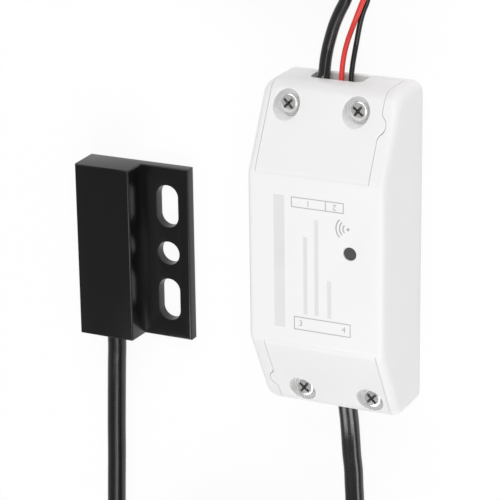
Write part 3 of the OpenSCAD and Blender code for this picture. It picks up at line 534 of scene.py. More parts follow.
    @staticmethod
    def dress(
        piece: Piece, finish: Finish, slot: str, nodes: Sequence[str] = (),
        body: Body = Body.BASE, angle: float = 32,
    ) -> Piece:
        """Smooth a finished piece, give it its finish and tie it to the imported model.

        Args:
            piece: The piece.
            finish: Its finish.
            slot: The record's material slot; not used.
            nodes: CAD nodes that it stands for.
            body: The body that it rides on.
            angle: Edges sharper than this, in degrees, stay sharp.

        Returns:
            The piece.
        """
        Bench.take(piece)
        bpy.ops.object.shade_smooth_by_angle(angle=math.radians(angle))
        piece.data.materials.clear()
        piece.data.materials.append(finish.material())
        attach(piece, body.value)
        if nodes:
            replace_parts(piece, *nodes)
        LOG.info("piece %s: %d faces, %s", piece.name, len(piece.data.polygons), finish.name)
        return piece


def at(x: float, y: float, z: float, turn: Matrix | None = None) -> Matrix:
    """A place for a piece: a shift in millimetres after an optional turn."""
    return Matrix.Translation((x, y, z)) @ (turn or Matrix.Identity(4))


def points(rows: Iterable[Sequence[float]], shift: Sequence[float] = (0, 0, 0)) -> list[Vector]:
    """Listed points in millimetres, each moved by the same shift."""
    return [Vector(row) + Vector(shift) for row in rows]


def smooth_path(corners: Sequence[Vector], steps: int) -> list[Vector]:
    """A smooth curve through points.

    Args:
        corners: The points that it passes through.
        steps: How many steps there are from one point to the next.

    Returns:
        The points of the curve.
    """
    last = len(corners) - 1
    path = []
    for i in range(last):
        a, b, c, d = corners[max(i - 1, 0)], corners[i], corners[i + 1], corners[min(i + 2, last)]
        for k in range(steps):
            t = k / steps
            bend = (2 * a - 5 * b + 4 * c - d) * t**2 + (3 * b - a - 3 * c + d) * t**3
            path.append(0.5 * (2 * b + (c - a) * t + bend))
    return [*path, corners[last].copy()]


def run_along(end: Vector, way: Sequence[float], step: float) -> list[Vector]:
    """Three points that lead straight into an end."""
    return [end - Vector(way) * k * step for k in (2, 1, 0)]


def part_of(value: float, low: float, high: float) -> float:
    """How far a value is from low to high, kept between 0 and 1."""
    return max(0.0, min(1.0, (value - low) / (high - low)))


@dataclass(frozen=True)
class Coil:
    """A wound coil: its turns spiral in and out, and climb a layer where they reverse."""

    steps: ClassVar[int] = 48
    centre: tuple[float, float]
    radius: float
    step: float
    turns: float
    layers: int
    rise: float
    base: float
    start: float
    way: int

    def _angle(self, t: float) -> float:
        """Angle in radians after a number of turns."""
        return math.radians(self.start + self.way * 360 * t)

    def point(self, t: float) -> Vector:
        """The cord's centre at a place in the coil.

        Args:
            t: Turns from the coil's start.

        Returns:
            The point.
        """
        layer = math.floor(t / self.turns)
        along = t - layer * self.turns
        depth = along if layer % 2 == 0 else self.turns - along
        climb = sum(part_of(t - j * self.turns, -0.25, 0.25) for j in range(1, self.layers))
        radius, angle = self.radius - self.step * depth, self._angle(t)
        return Vector((
            self.centre[0] + radius * math.cos(angle),
            self.centre[1] + radius * math.sin(angle),
            self.base + self.rise * climb,
        ))

    def ahead(self, t: float) -> Vector:
        """Heading of the cord after a number of turns."""
        return Vector((-math.sin(self._angle(t)), math.cos(self._angle(t)), 0)) * self.way

    def run_in(self, lead: float, step: float) -> list[Vector]:
        """Three points that lead straight into the coil."""
        return [self.point(0) - self.ahead(0) * (lead + k * step) for k in (2, 1, 0)]

    def run_out(self, lead: float, step: float) -> list[Vector]:
        """Three points that lead straight out of the coil."""
        end = self.turns * self.layers
        return [self.point(end) + self.ahead(end) * (lead + k * step) for k in (0, 1, 2)]

    def path(self) -> list[Vector]:
        """Points of the whole coil."""
        count = round(self.turns * self.layers * self.steps)
        return [self.point(self.turns * self.layers * i / count) for i in range(count + 1)]


@dataclass(frozen=True)
class Cord:
    """A cord swept along its route as a tube, round or flat, with its length kept as UV."""

    name: str
    width: float
    thickness: float
    finish: Finish
    slot: str
    nodes: tuple[str, ...]
    sides: int = 20
    waist: float = 0.92

    def sweep(self, path: Sequence[Vector], rolls: Sequence[float] | None = None) -> Piece:
        """Sweep the cord's section along a path.

        Args:
            path: Centre of the cord, in millimetres.
            rolls: Turn of the section at each point, in degrees.

        Returns:
            The cord, dressed and tied to the base.
        """
        rolls = rolls or [0.0] * len(path)
        corners, travelled, lengths = [], 0.0, []
        for i, centre in enumerate(path):
            ahead = (path[min(i + 1, len(path) - 1)] - path[max(i - 1, 0)]).normalized()
            side = ahead.cross(Vector((0, 0, 1))).normalized()
            up = side.cross(ahead)
            travelled += (centre - path[i - 1]).length if i else 0.0
            lengths.append(travelled)
            corners += [(centre + side * x + up * y) * MM for x, y in self._section(rolls[i])]
        count = self.sides
        end = (len(path) - 1) * count
        faces = []
        for ring in range(0, end, count):
            for k in range(count):
                here, beside = ring + k, ring + (k + 1) % count
                faces.append((here, beside, beside + count, here + count))
        faces += [tuple(reversed(range(count))), tuple(range(end, end + count))]
        mesh = bpy.data.meshes.new(self.name)
        mesh.from_pydata(corners, [], faces)
        self._unwrap(mesh, lengths)
        piece = bpy.data.objects.new(self.name, mesh)
        bpy.context.scene.collection.objects.link(piece)
        return Bench.dress(Bench.face_out(piece), self.finish, self.slot, self.nodes, angle=50)

    def _section(self, roll: float) -> list[tuple[float, float]]:
        """Corners across the cord, round or with a lobe over each core and a shallow waist.

        Args:
            roll: Turn of the section, in degrees.

        Returns:
            Each corner's place to the side and upwards.
        """
        cos_roll, sin_roll = math.cos(math.radians(roll)), math.sin(math.radians(roll))
        flat, radius = (self.width - self.thickness) / 2, self.thickness / 2
        corners = []
        for k in range(self.sides):
            angle = 2 * math.pi * (k + 0.5) / self.sides
            cos, sin = math.cos(angle), math.sin(angle)
            reach = flat * abs(cos) + math.sqrt(max(radius ** 2 - (flat * sin) ** 2, 0.0))
            x, y = reach * cos, reach * sin
            if abs(x) < flat:
                y = math.copysign(max(abs(y), radius * self.waist), y)
            corners.append((x * cos_roll - y * sin_roll, x * sin_roll + y * cos_roll))
        return corners

    def _unwrap(self, mesh: bpy.types.Mesh, lengths: Sequence[float]) -> None:
        """Lay a UV map in metres: along the cord, and round it.

        Args:
            mesh: The swept mesh, its corners in rings.
            lengths: How far along the cord each ring is, in millimetres.
        """
        layer = mesh.uv_layers.new(name="along")
        around = 2 * (self.width + self.thickness) * MM
        for polygon in mesh.polygons:
            rounds = [mesh.loops[i].vertex_index % self.sides for i in polygon.loop_indices]
            wraps = max(rounds) - min(rounds) > 1
            for i, place in zip(polygon.loop_indices, rounds):
                step = self.sides if wraps and place == 0 else place
                ring = mesh.loops[i].vertex_index // self.sides
                layer.data[i].uv = (lengths[ring] * MM, step / self.sides * around)


@dataclass
class CordEnds:
    """What is on the far ends of the cords: a flat two pin plug and two round connectors."""

    plug_rear: Vector = field(default_factory=lambda: Vector((-33, -109.6, 20.35)))
    plug_length: float = 36.0
    plug_width: float = 35.3
    plug_height: float = 13.7
    plug_soft: float = 1.1
    neck_width: float = 8.4
    neck_height: float = 6.4
    neck_share: float = 0.28
    shoulder_share: float = 0.5
    body_share: float = 0.62
    grip_start: float = 1.8
    grip_pitch: float = 2.1
    grip_width: float = 0.9
    grip_depth: float = 0.55
    grip_edge: float = 1.4
    rest_low: tuple[float, float] = (24.5, -11.0)
    rest_high: tuple[float, float] = (32.5, 11.0)
    rest_depth: float = 0.4
    pin_spacing: float = 18.6
    pin_profile: tuple[tuple[float, float], ...] = (
        (2.0, -1.0), (2.0, 18.0), (1.85, 18.4), (1.5, 18.8), (1.0, 19.0))
    socket_rear: Vector = field(default_factory=lambda: Vector((-23, 94.3, 21.0)))
    socket_nose: tuple[float, float] = (3.4, 6.5)
    socket_hole: tuple[float, float] = (0.6, 1.5)
    plug_back: Vector = field(default_factory=lambda: Vector((-73, -126, 4.6)))
    plug_recess: tuple[float, float] = (3.5, 7.0)
    boot_length: float = 8.0
    body_length: float = 20.0
    body_radius: float = 4.5
    boot_wall: float = 1.4
    rib_starts: tuple[float, ...] = (1.4, 3.0, 4.6, 6.2)
    groove_starts: tuple[float, ...] = (4.0, 5.8, 7.6, 9.4, 11.2)

    @property
    def front(self) -> float:
        """How far a connector's body reaches from its cable end."""
        return self.boot_length + self.body_length

    def build_mains_plug(self) -> Piece:
        """The mains plug: a plan and a side view crossed, rounded, with grip slots in its neck.

        Returns:
            The plug's body.
        """
        rear, half, tall = self.plug_rear, self.plug_width / 2, self.plug_height / 2
        neck, thin, tip = self.neck_width / 2, self.neck_height / 2, self.plug_length
        neck_end, body_start = tip * self.neck_share, tip * self.body_share
        shoulder = tip * self.shoulder_share
        plan = [(0, -neck), (neck_end, -neck), (body_start, -half), (tip, -half),
                (tip, half), (body_start, half), (neck_end, neck), (0, neck)]
        side = [(0, -thin), (shoulder, -tall), (tip, -tall), (tip, tall), (shoulder, tall), (0, thin)]
        piece = Bench.prism("mains_plug_body", [rear + Vector((x, y, -tall)) for x, y in plan],
                            (0, 0, self.plug_height))
        across = Bench.prism("side_view", [rear + Vector((x, -half - 1, z)) for x, z in side],
                             (0, self.plug_width + 2, 0))
        Bench.face_out(Bench.combine(piece, [across], "INTERSECT"))
        Bench.bevel(piece, sharp, self.plug_soft, 3)
        dents, reach = [], neck - self.grip_edge
        for step in range(4):
            x = self.grip_start + self.grip_pitch * step
            top = thin + (tall - thin) * (x + 0.5) / shoulder
            dents += self._dents((x, -reach), (x + self.grip_width, reach), top, self.grip_depth)
        dents += self._dents(self.rest_low, self.rest_high, tall, self.rest_depth)
        Bench.combine(piece, dents)
        return Bench.dress(piece, PLUG_BLACK, "plug_black", ("mains_plug",))

    def _dents(self, low: Sequence[float], high: Sequence[float], top: float, depth: float) -> list[Piece]:
        """Cutters for a dent in the plug's underside and the same one in its upper side.

        Args:
            low: Lower corner of the dent's plan, from the plug's rear.
            high: Upper corner of its plan.
            top: Height of the plug there, from its middle.
            depth: Depth of the dent.

        Returns:
            The two cutters.
        """
        cutters = []
        for way in (-1, 1):
            bottom, clear = sorted((way * (top - depth), way * (top + 1)))
            cutters.append(Bench.block("dent", self.plug_rear + Vector((*low, bottom)),
                                       self.plug_rear + Vector((*high, clear))))
        return cutters

    def build_pins(self) -> Piece:
        """Two round pins with tapered tips.

        Returns:
            Both pins as one piece.
        """
        pins = []
        for way in (-1, 1):
            start = self.plug_rear + Vector((self.plug_length, way * self.pin_spacing / 2, 0))
            pins.append(Bench.turned("pin", self.pin_profile, at(*start, ALONG_X), 32))
        pair = Bench.join("mains_plug_pin_pair", pins)
        return Bench.dress(pair, PIN_NICKEL, "pin_nickel", ("mains_plug_pins",))

    def _connector(self, cable: float) -> list[tuple[float, float]]:
        """Profile of a connector from its cable end: a ribbed boot and a body with a grip.

        Args:
            cable: Diameter of its cable.

        Returns:
            Radius and height of each step.
        """
        small, large = (cable + self.boot_wall) / 2, self.body_radius - self.boot_wall / 2
        profile = [(small - 0.3, 0.0), (small, 0.3)]
        for z in self.rib_starts:
            radius = small + (large - small) * z / self.boot_length
            profile += [(radius, z), (radius - 0.35, z + 0.1), (radius - 0.3, z + 0.65),
                        (radius + 0.05, z + 0.75)]
        body, boot, front = self.body_radius, self.boot_length, self.front
        profile += [(large, boot), (body - 0.5, boot), (body - 0.15, boot + 0.15), (body, boot + 0.5)]
        for start in self.groove_starts:
            z = boot + start
            profile += [(body, z), (body - 0.3, z + 0.2), (body - 0.3, z + 0.7), (body, z + 0.9)]
        return profile + [(body, front - 0.5), (body - 0.15, front - 0.15), (body - 0.5, front)]

    def build_socket(self) -> Piece:
        """The socket on the controller's sensor lead, with two pin holes in its nose.

        Returns:
            The socket.
        """
        front, (nose, length), (hole, aside) = self.front, self.socket_nose, self.socket_hole
        profile = self._connector(LEAD_WIDTH) + [
            (nose, front), (nose, front + length), (nose - 0.4, front + length + 0.4)]
        piece = Bench.turned("sensor_lead_socket", profile, at(*self.socket_rear, ALONG_X))
        holes = []
        for y in (-aside, aside):
            place = at(*(self.socket_rear + Vector((0, y, 0))), ALONG_X)
            holes.append(Bench.turned("hole", [(hole, front), (hole, front + 8)], place, 20))
        return Bench.dress(Bench.combine(piece, holes), PLUG_BLACK, "plug_black", ("lead_socket",))

    def build_sensor_plug(self) -> Piece:
        """The plug on the sensor's pigtail, with a round recess for its pins.

        Returns:
            The plug.
        """
        front, (recess, depth) = self.front, self.plug_recess
        profile = self._connector(PIGTAIL_WIDTH) + [
            (recess + 0.2, front), (recess, front - 0.2), (recess, front - depth)]
        piece = Bench.turned("sensor_pigtail_plug", profile, at(*self.plug_back, ALONG_BACK_Y))
        return Bench.dress(piece, PLUG_BLACK, "plug_black", ("sensor_plug",))


@dataclass
class Cables:
    """The cords of the controller and of the sensor, swept along their routes."""

    half_length: float = 44.0
    steps: int = 8
    mains_roll: tuple[float, float] = (32.0, 64.0)
    sensor_foot: tuple[float, float, float] = (-69.8, -36.0, 0.0)

    def build(self, ends: CordEnds) -> None:
        """Make every cord with what is on its end.

        Args:
            ends: The plug and the connectors.
        """
        nodes = frame["nodes"]
        self._mains(ends.plug_rear, [ends.build_mains_plug(), ends.build_pins(), nodes["mains_coil_tie"]])
        self._lead(ends.socket_rear, [ends.build_socket(), nodes["sensor_coil_tie"]])
        self._pigtail(ends.plug_back, [ends.build_sensor_plug(), nodes["sensor_plug_pins"]])
        self._output_wires()
        self._cores()

    def _mains(self, plug_rear: Vector, others: Sequence[Piece]) -> None:
        """The flat mains lead, which turns on its edge into its coil.

        Args:
            plug_rear: Where its plug starts.
            others: Separate pieces on the cord; not used.
        """
        cord = Cord("mains_cord", MAINS_WIDTH, MAINS_THICKNESS, CORD_BLACK, "cord_black",
                    ("mains_lead", "mains_lead_coil", "mains_lead_tail"), 24)
        end = (0, -self.half_length, 0)
        coil = Coil((-31.4, -77 - self.half_length), radius=32.6, step=4.0, turns=2.625, layers=2, rise=5.9,
                    base=3.9, start=0, way=-1)
        route = smooth_path(points([
            (1.6, 5.4, 6), (1.6, 4.7, 6), (1.6, 4, 6), (0.8, 2, 5.6), (0.2, -0.5, 4.6), (0, -4.2, 3.6),
            (-0.1, -8, 2.5), (-0.1, -13, 1.7), (0.2, -17.6, 1.7), (0.7, -22.3, 1.7), (0.9, -27, 1.7),
            (1.1, -31.2, 1.7), (1.2, -37, 2), (1.2, -46, 2.8), (1.2, -56, 3.6)], end)
            + coil.run_in(MAINS_WIDTH, 2.5), self.steps)
        tail = smooth_path(coil.run_out(2.5, 2.5) + points([
            (-44, -108.5, 10.6), (-49.4, -105.9, 12.6), (-55.4, -101, 15), (-59.4, -93, 16.2),
            (-60.4, -84, 16.8), (-57.6, -75, 17.4), (-51, -68.4, 18.4), (-43, -65.7, 19.6)], end)
            + run_along(plug_rear, (1, 0, 0), 2), self.steps)
        turns = coil.path()
        last = len(tail) - 1
        on_edge = 90.0
        rolls = [on_edge * part_of(-p.y - self.half_length, *self.mains_roll) for p in route]
        rolls += [on_edge] * len(turns)
        rolls += [on_edge * (1 - part_of(i, 1.5 * self.steps, last - self.steps)) for i in range(last + 1)]
        path = route + turns + tail
        cord.sweep(path, rolls)

    def _lead(self, socket_rear: Vector, others: Sequence[Piece]) -> None:
        """The controller's round sensor lead, in a coil of four layers.

        Args:
            socket_rear: Where its socket starts.
            others: Separate pieces on the cord; not used.
        """
        cord = Cord("sensor_lead_cord", LEAD_WIDTH, LEAD_WIDTH, LEAD_BLACK, "lead_black",
                    ("sensor_lead", "sensor_lead_coil", "sensor_lead_tail"))
        end = (0, self.half_length, 0)
        coil = Coil((-20.5, 49 + self.half_length), radius=21.3, step=3.7, turns=2.0625, layers=4, rise=3.7,
                    base=2.8, start=0, way=1)
        route = smooth_path(points([
            (-6.6, -5.4, 5.8), (-6.6, -4.7, 5.8), (-6.6, -4, 5.8), (-6.6, -2, 4.8), (-6.7, 0, 3.7),
            (-6.8, 3.4, 2.5), (-6.5, 6.4, 1.8), (-5.7, 9.6, 1.65), (-4.6, 13, 1.65), (-3.2, 16.2, 1.65),
            (-1.6, 19.4, 1.65), (0, 24, 1.7), (0.7, 30, 2), (0.8, 36, 2.6)], end)
            + coil.run_in(LEAD_WIDTH, 2), self.steps)
        tail = smooth_path(coil.run_out(1.2, 1.6) + points([
            (-28.2, 69.4, 14.8), (-31.3, 67.2, 15.9), (-33.7, 64, 17.2), (-35, 60.2, 18.5),
            (-34.7, 56.2, 19.5), (-32.6, 52.7, 20.3), (-29.4, 50.7, 20.8)], end)
            + run_along(socket_rear, (1, 0, 0), 1.5), self.steps)
        path = route + coil.path() + tail
        cord.sweep(path)

    def _pigtail(self, plug_back: Vector, others: Sequence[Piece]) -> None:
        """The sensor's own short lead.

        Args:
            plug_back: Where its plug starts.
            others: Separate pieces on the cord; not used.
        """
        cord = Cord("sensor_pigtail_cord", PIGTAIL_WIDTH, PIGTAIL_WIDTH, SHEATH_BLACK, "lead_black",
                    ("sensor_pigtail",), 28)
        path = smooth_path(points([
            (0, 1.8, 4.2), (0, 0.3, 4.2), (0, -1.2, 4.2), (-0.2, -5, 3.9), (-0.7, -9.4, 3.4),
            (-1.3, -15.8, 2.8), (-1.6, -22, 2.7), (-1.9, -30, 2.7), (-2.1, -37.5, 2.7), (-2.4, -45, 2.7),
            (-2.7, -53, 2.7), (-3, -64, 2.9), (-3.2, -76, 3.8)], self.sensor_foot)
            + run_along(plug_back, (0, -1, 0), 2), self.steps)
        cord.sweep(path)

    def _output_wires(self) -> None:
        """The red and the black single wire, each with a small coil and a bare end.
        """
        end = (0, self.half_length, 0)
        red = points([
            (0.5, -12, 9.8), (0.3, -9.5, 9.2), (-1.2, -5, 6.2), (-1.7, -0.6, 4), (-2, 2.3, 2.8),
            (-2, 5.2, 1.6), (-1.62, 7.6, 1), (-0.9, 9.9, 0.9), (0.5, 13.2, 1.3), (2.2, 16.8, 2.2),
            (3.65, 20, 2.6), (5.2, 23.2, 2.5), (6.8, 26.6, 2)], end)
        black = points([
            (5.5, -12, 9.8), (5.1, -9.5, 9.2), (2.2, -5, 6.2), (1, -0.5, 4), (0.8, 2.6, 2.8),
            (0.8, 5.4, 1.6), (1.1, 8.4, 0.9), (2, 13.3, 0.8), (2.9, 16.5, 0.8), (4.1, 19.7, 0.8),
            (4.7, 24, 0.8), (4.9, 32, 0.8), (4.9, 40, 0.9), (5, 48, 1.4)], end)
        for colour, finish, corners, (x, y) in (
            ("red", WIRE_RED, red, (17.6, 36)), ("black", WIRE_BLACK, black, (15, 59))
        ):
            coil = Coil((x, y + self.half_length), radius=9.9, step=1.9, turns=2.125, layers=2, rise=1.9,
                        base=1.9, start=180, way=-1)
            cord = Cord(f"{colour}_wire", WIRE_WIDTH, WIRE_WIDTH, finish, f"wire_{colour}",
                        (f"output_wire_{colour}", f"output_{colour}_coil"), 16)
            path = smooth_path(corners + coil.run_in(WIRE_WIDTH, 1.5), self.steps) + coil.path()
            path += coil.run_out(WIRE_WIDTH, 1)[:1]
            cord.sweep(path)

    @staticmethod
    def _cores() -> None:
        """Bare cores inside the housing, from the jackets' ends to the terminals."""
        cores = []
        for start, end in (
            ((-7.4, 38.6, 5.8), (-9.5, 32, 9.8)), ((-5.8, 38.6, 5.8), (-4.5, 32, 9.8)),
            ((0.25, -38.6, 6), (-1.75, -32, 9.8)), ((2.95, -38.6, 6), (5.75, -32, 9.8)),
        ):
            a, reach = Vector(start), Vector(end) - Vector(start)
            path, last = [], 24
            for i in range(last + 1):
                t = i / last
                eased = t * t * (3 - 2 * t)
                path.append(a + Vector((reach.x * eased, reach.y * t, reach.z * eased)))
            core = Cord("core", CORE_WIDTH, CORE_WIDTH, TINNED_COPPER, "tinned_copper", (), 12)
            cores.append(core.sweep(path))
        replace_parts(Bench.join("terminal_cores", cores), "terminal_wires")


def rounded(corners: Sequence[Sequence[float]], radius: float, steps: int = 6) -> list[tuple[float, float]]:
    """A flat line through corners, with the inner corners rounded.

    Args:
        corners: The corners; the first and the last stay as they are.
        radius: How far from a corner its rounding starts, at most half way to the next.
        steps: How many steps a rounding has.

    Returns:
        The points of the line.
    """
    line = [tuple(corners[0])]
    for before, here, after in zip(corners, corners[1:], corners[2:]):
        corner = Vector(here)
        back, on = Vector(before) - corner, Vector(after) - corner
        start = corner + back.normalized() * min(radius, back.length * 0.48)
        end = corner + on.normalized() * min(radius, on.length * 0.48)
        for i in range(steps + 1):
            t = i / steps
            line.append(tuple(start * (1 - t) ** 2 + corner * 2 * t * (1 - t) + end * t**2))
    return [*line, tuple(corners[-1])]


def upright(edge: bmesh.types.BMEdge) -> bool:
    """Whether an edge runs along Z."""
    run = edge.verts[1].co - edge.verts[0].co
    return abs(run.z) > 0.99 * run.length


def sharp(edge: bmesh.types.BMEdge, degrees: float = 25) -> bool:
    """Whether an edge's faces meet at more than an angle."""
    return edge.calc_face_angle(0) > math.radians(degrees)


def ring_edge(edge: bmesh.types.BMEdge, x: float, y: float, radius: float) -> bool:
    """Whether a sharp edge lies on an upright cylinder, given in millimetres."""
    return sharp(edge) and all(
        abs(math.hypot(v.co.x / MM - x, v.co.y / MM - y) - radius) < 0.06 for v in edge.verts
    )


@dataclass
class Housing:
    """The white housing with its two end covers, their screws and the pairing button."""

    half_length: float = 44.0
    half_width: float = 19.0
    height: float = 25.0
    label_end: float = 22.8
    end_height: float = 13.5
    wall: float = 2.0
    corner: float = 3.0
    end_soft: float = 2.9
    side_soft: float = 1.8
    fold_soft: float = 1.6
    cover_left: float = -16.6
    cover_right: float = 14.6
    half_gap: float = 0.06
    fold_gap: float = 0.03
    screw_y: float = 38.6
    screw_xs: tuple[float, float] = (-11.6, 7.6)
    seat: float = 13.5
    post_top: float = 11.5
    well_radius: float = 3.65
    boss_radius: float = 4.65
    mouth_x: float = -2.0
    mouth_width: float = 14.6
    mouth_corner: float = 2.4
    mouth_top: float = 7.6
    lip_soft: float = 0.45
    rim_soft: float = 0.9
    key_depth: float = 1.6
    key_ys: tuple[float, float, float, float] = (33.8, 35.0, 37.4, 38.6)
    clip_places: tuple[float, float] = (17.0, 14.0)
    clip_pocket: tuple[float, float] = (0.7, 4.1)
    clip_heights: tuple[float, float] = (0.4, 1.6)
    above: float = 30.0
    opening_bottom: float = 1.8
    cover_bottom: float = 2.0
    shank_radius: float = 1.4
    shank_bottom: float = 5.0
    screw_profile: tuple[tuple[float, float], ...] = (
        (0.6, -8.0), (1.25, -7.2), (1.25, 0.0), (2.5, 0.0), (2.65, 0.15), (2.65, 1.0), (2.58, 1.3),
        (2.4, 1.5), (2.1, 1.62), (1.7, 1.69), (1.2, 1.73), (0.8, 1.75))
    screw_turns: tuple[float, float] = (45.0, 52.0)
    recess_low: tuple[float, float, float] = (-1.9, -0.36, -1.0)
    recess_high: tuple[float, float, float] = (1.9, 0.36, 2.5)
    recess_taper: tuple[float, float] = (0.45, 0.9)
    # faces of the cross recess within these reaches and heights get painted shade
    recess_shade_reach: tuple[float, float] = (1.2, 2.0)
    recess_shade_heights: tuple[float, float] = (-1.2, 1.5)
    button_x: float = 9.6
    button_y: float = 4.1
    button_hole: float = 1.75
    button_bottom: float = 20.0
    hole_soft: float = 0.25
    button_profile: tuple[tuple[float, float], ...] = (
        (1.62, 23.2), (1.62, 24.3), (1.55, 24.5), (1.35, 24.64), (1.0, 24.71), (0.5, 24.74))

    def build(self) -> None:
        """Make the shell, the covers, the screws and the button."""
        self._shell()
        self._covers()
        self._screws()
        self._button()

    def _form(self, name: str, inset: float, bottom: float) -> Piece:
        """The solid that the housing and its covers fill.

        Args:
            name: The piece's name.
            inset: How far it is moved in from the outside.
            bottom: Height of its underside.

        Returns:
            The solid, rounded where it is the outside.
        """
        x, y = self.half_width - inset, self.half_length - inset
        piece = Bench.block(name, (-x, -y, bottom), (x, y, self.height - inset))
        Bench.bevel(piece, upright, max(self.corner - inset, 0.4), 10)
        rise, run = self.height - self.end_height, self.half_length - self.label_end
        for way in (1, -1):
            normal = Vector((0, way * rise, run)).normalized()
            Bench.slice(piece, Vector((0, way * self.label_end, self.height)) - normal * inset, normal)
        if inset == 0:
            Bench.weighted_bevel(piece, self._softness, self.end_soft, 6)
        return Bench.face_out(piece)

    def _softness(self, edge: bmesh.types.BMEdge) -> float:
        """How soft an edge of the outside is.

        Args:
            edge: The edge.

        Returns:
            Its share, from 0 to 1 for the softest, along the ends.
        """
        if not sharp(edge, 20) or min(v.co.z for v in edge.verts) < self.end_height * 0.5 * MM:
            return 0.0
        wall = min((face.normal for face in edge.link_faces), key=lambda normal: normal.z)
        if wall.z > 0.3:
            return self.fold_soft / self.end_soft
        return abs(wall.y) + (1 - abs(wall.y)) * self.side_soft / self.end_soft

    def _region(self, name: str, grow: float, bottom: float) -> Piece:
        """The space of the output end's cover, with its key on one side.

        Args:
            name: The piece's name.
            grow: How far it is moved out.
            bottom: Height of its underside.

        Returns:
            The space as a prism.
        """
        left, right, far = self.cover_left - grow, self.cover_right + grow, self.half_length + 1
        near, out = self.label_end - max(grow, self.half_gap - self.fold_gap), right + self.key_depth
        start, rise, fall, end = self.key_ys
        key = rounded([(right, near + 4), (right, start - grow), (out, rise - grow), (out, fall + grow),
                       (right, end + grow), (right, far - 3)], 1.0)
        plan = [(left, near), (right, near), *key, (right, far), (left, far)]
        return Bench.prism(name, [(x, y, bottom) for x, y in plan], (0, 0, self.above))

    def _shell(self) -> None:
        """The main shell, open below, at the covers and at the button."""
        shell = self._form("housing_shell", 0, 0)
        Bench.combine(shell, [self._form("inside", self.wall, -1)])
        for turn in (0, math.pi):
            opening = self._region("opening", self.half_gap, self.opening_bottom)
            opening.data.transform(Matrix.Rotation(turn, 4, "Z"))
            Bench.combine(shell, [opening])
        x, y, radius = self.button_x, self.button_y, self.button_hole
        Bench.combine(shell, [self._bore("button_hole", radius, self.button_bottom, x, y)])
        (wide, deep), (low, high) = self.clip_pocket, self.clip_heights
        aside, along = self.clip_places
        pockets = [
            Bench.block("pocket", (px - wide, py - deep, low), (px + wide, py + deep, high))
            for px in (-aside, aside) for py in (-along, along)
        ]
        Bench.combine(shell, pockets)
        Bench.bevel(shell, lambda edge: ring_edge(edge, x, y, radius), self.hole_soft, 3)
        Bench.dress(Bench.face_out(shell), HOUSING_WHITE, "housing_white", ("housing",))

    def _covers(self) -> None:
        """Two end covers from one moulding, with screw bosses, wells and a cable mouth."""
        cover = self._form("output_cover", 0, 0)
        inside = self._form("inside", self.wall, -1)
        Bench.combine(inside, [
            self._bore("boss", self.boss_radius, self.post_top, x, self.screw_y) for x in self.screw_xs])
        Bench.combine(cover, [inside])
        Bench.combine(cover, [self._region("trim", -self.half_gap, self.cover_bottom)], "INTERSECT")
        cuts = []
        for x in self.screw_xs:
            cuts.append(self._bore("well", self.well_radius, self.seat, x, self.screw_y))
            cuts.append(self._bore("shank_hole", self.shank_radius, self.shank_bottom, x, self.screw_y, 32))
        cuts.append(self._mouth())
        Bench.combine(cover, cuts)
        Bench.bevel(cover, self._mouth_lip, self.lip_soft, 3)
        for x in self.screw_xs:
            Bench.bevel(cover, lambda e: ring_edge(e, x, self.screw_y, self.well_radius)
                        and min(v.co.z for v in e.verts) > (self.seat + 0.3) * MM, self.rim_soft, 6)
        Bench.face_out(cover)
        other = Bench.copy(cover, "mains_cover", Matrix.Rotation(math.pi, 4, "Z"))
        Bench.dress(cover, HOUSING_WHITE, "housing_white", ("output_end_cover",))
        Bench.dress(other, HOUSING_WHITE, "housing_white", ("mains_end_cover",))

    def _bore(
        self, name: str, radius: float, bottom: float, x: float, y: float, sides: int = ROUND_SIDES
    ) -> Piece:
        """A round upright cutter that goes out of the top.

        Args:
            name: The cutter's name.
            radius: Its radius.
            bottom: Height of its lower end.
            x: Place of its middle.
            y: Place of its middle.
            sides: How many sides it has.

        Returns:
            The cutter.
        """
        return Bench.turned(name, [(radius, bottom), (radius, self.above)], at(x, y, 0), sides)

    def _mouth(self) -> Piece:
        """A cutter for the cable mouth, with round upper corners.

        Returns:
            The cutter.
        """
        half, top = self.mouth_width / 2, self.mouth_top
        left, right = self.mouth_x - half, self.mouth_x + half
        arch = rounded([(right, 0), (right, top), (left, top), (left, 0)], self.mouth_corner)
        outline = [(left, -1), (right, -1), *arch]
        return Bench.prism("mouth", [(x, self.half_length - 3, z) for x, z in outline], (0, 6, 0))

    def _mouth_lip(self, edge: bmesh.types.BMEdge) -> bool:
        """Whether an edge is the outer lip of the cable mouth."""
        return sharp(edge, 40) and all(
            v.co.y > (self.half_length - 0.8) * MM and 2.3 * MM < v.co.z < (self.mouth_top + 0.05) * MM
            and abs(v.co.x / MM - self.mouth_x) < self.mouth_width / 2 + 0.05 for v in edge.verts
        )

    def _screws(self) -> None:
        """Four pan head screws with cross recesses, turned once and copied."""
        screw = Bench.turned("cover_screw", self.screw_profile, at(0, 0, 0))
        for turn in (0, QUARTER):
            bar = Bench.block("recess", self.recess_low, self.recess_high)
            for vertex in bar.data.vertices:
                if vertex.co.z < 0:
                    vertex.co.x *= self.recess_taper[0]
                    vertex.co.y *= self.recess_taper[1]
            bar.data.transform(Matrix.Rotation(turn, 4, "Z"))
            Bench.combine(screw, [bar])
        # marks the recess faces that the finish darkens with painted shade
        self._mark_recess_shade(screw)
        copies = []
        for x, turn in zip(self.screw_xs, self.screw_turns):
            for way in (1, -1):
                spin = Matrix.Rotation(math.radians(turn), 4, "Z")
                copies.append(Bench.copy(screw, "screw", at(way * x, way * self.screw_y, self.seat, spin)))
        bpy.data.objects.remove(screw)
        piece = Bench.join("cover_screw_set", copies)
        Bench.dress(piece, SCREW_STEEL, "screw_steel", ("cover_screws",))

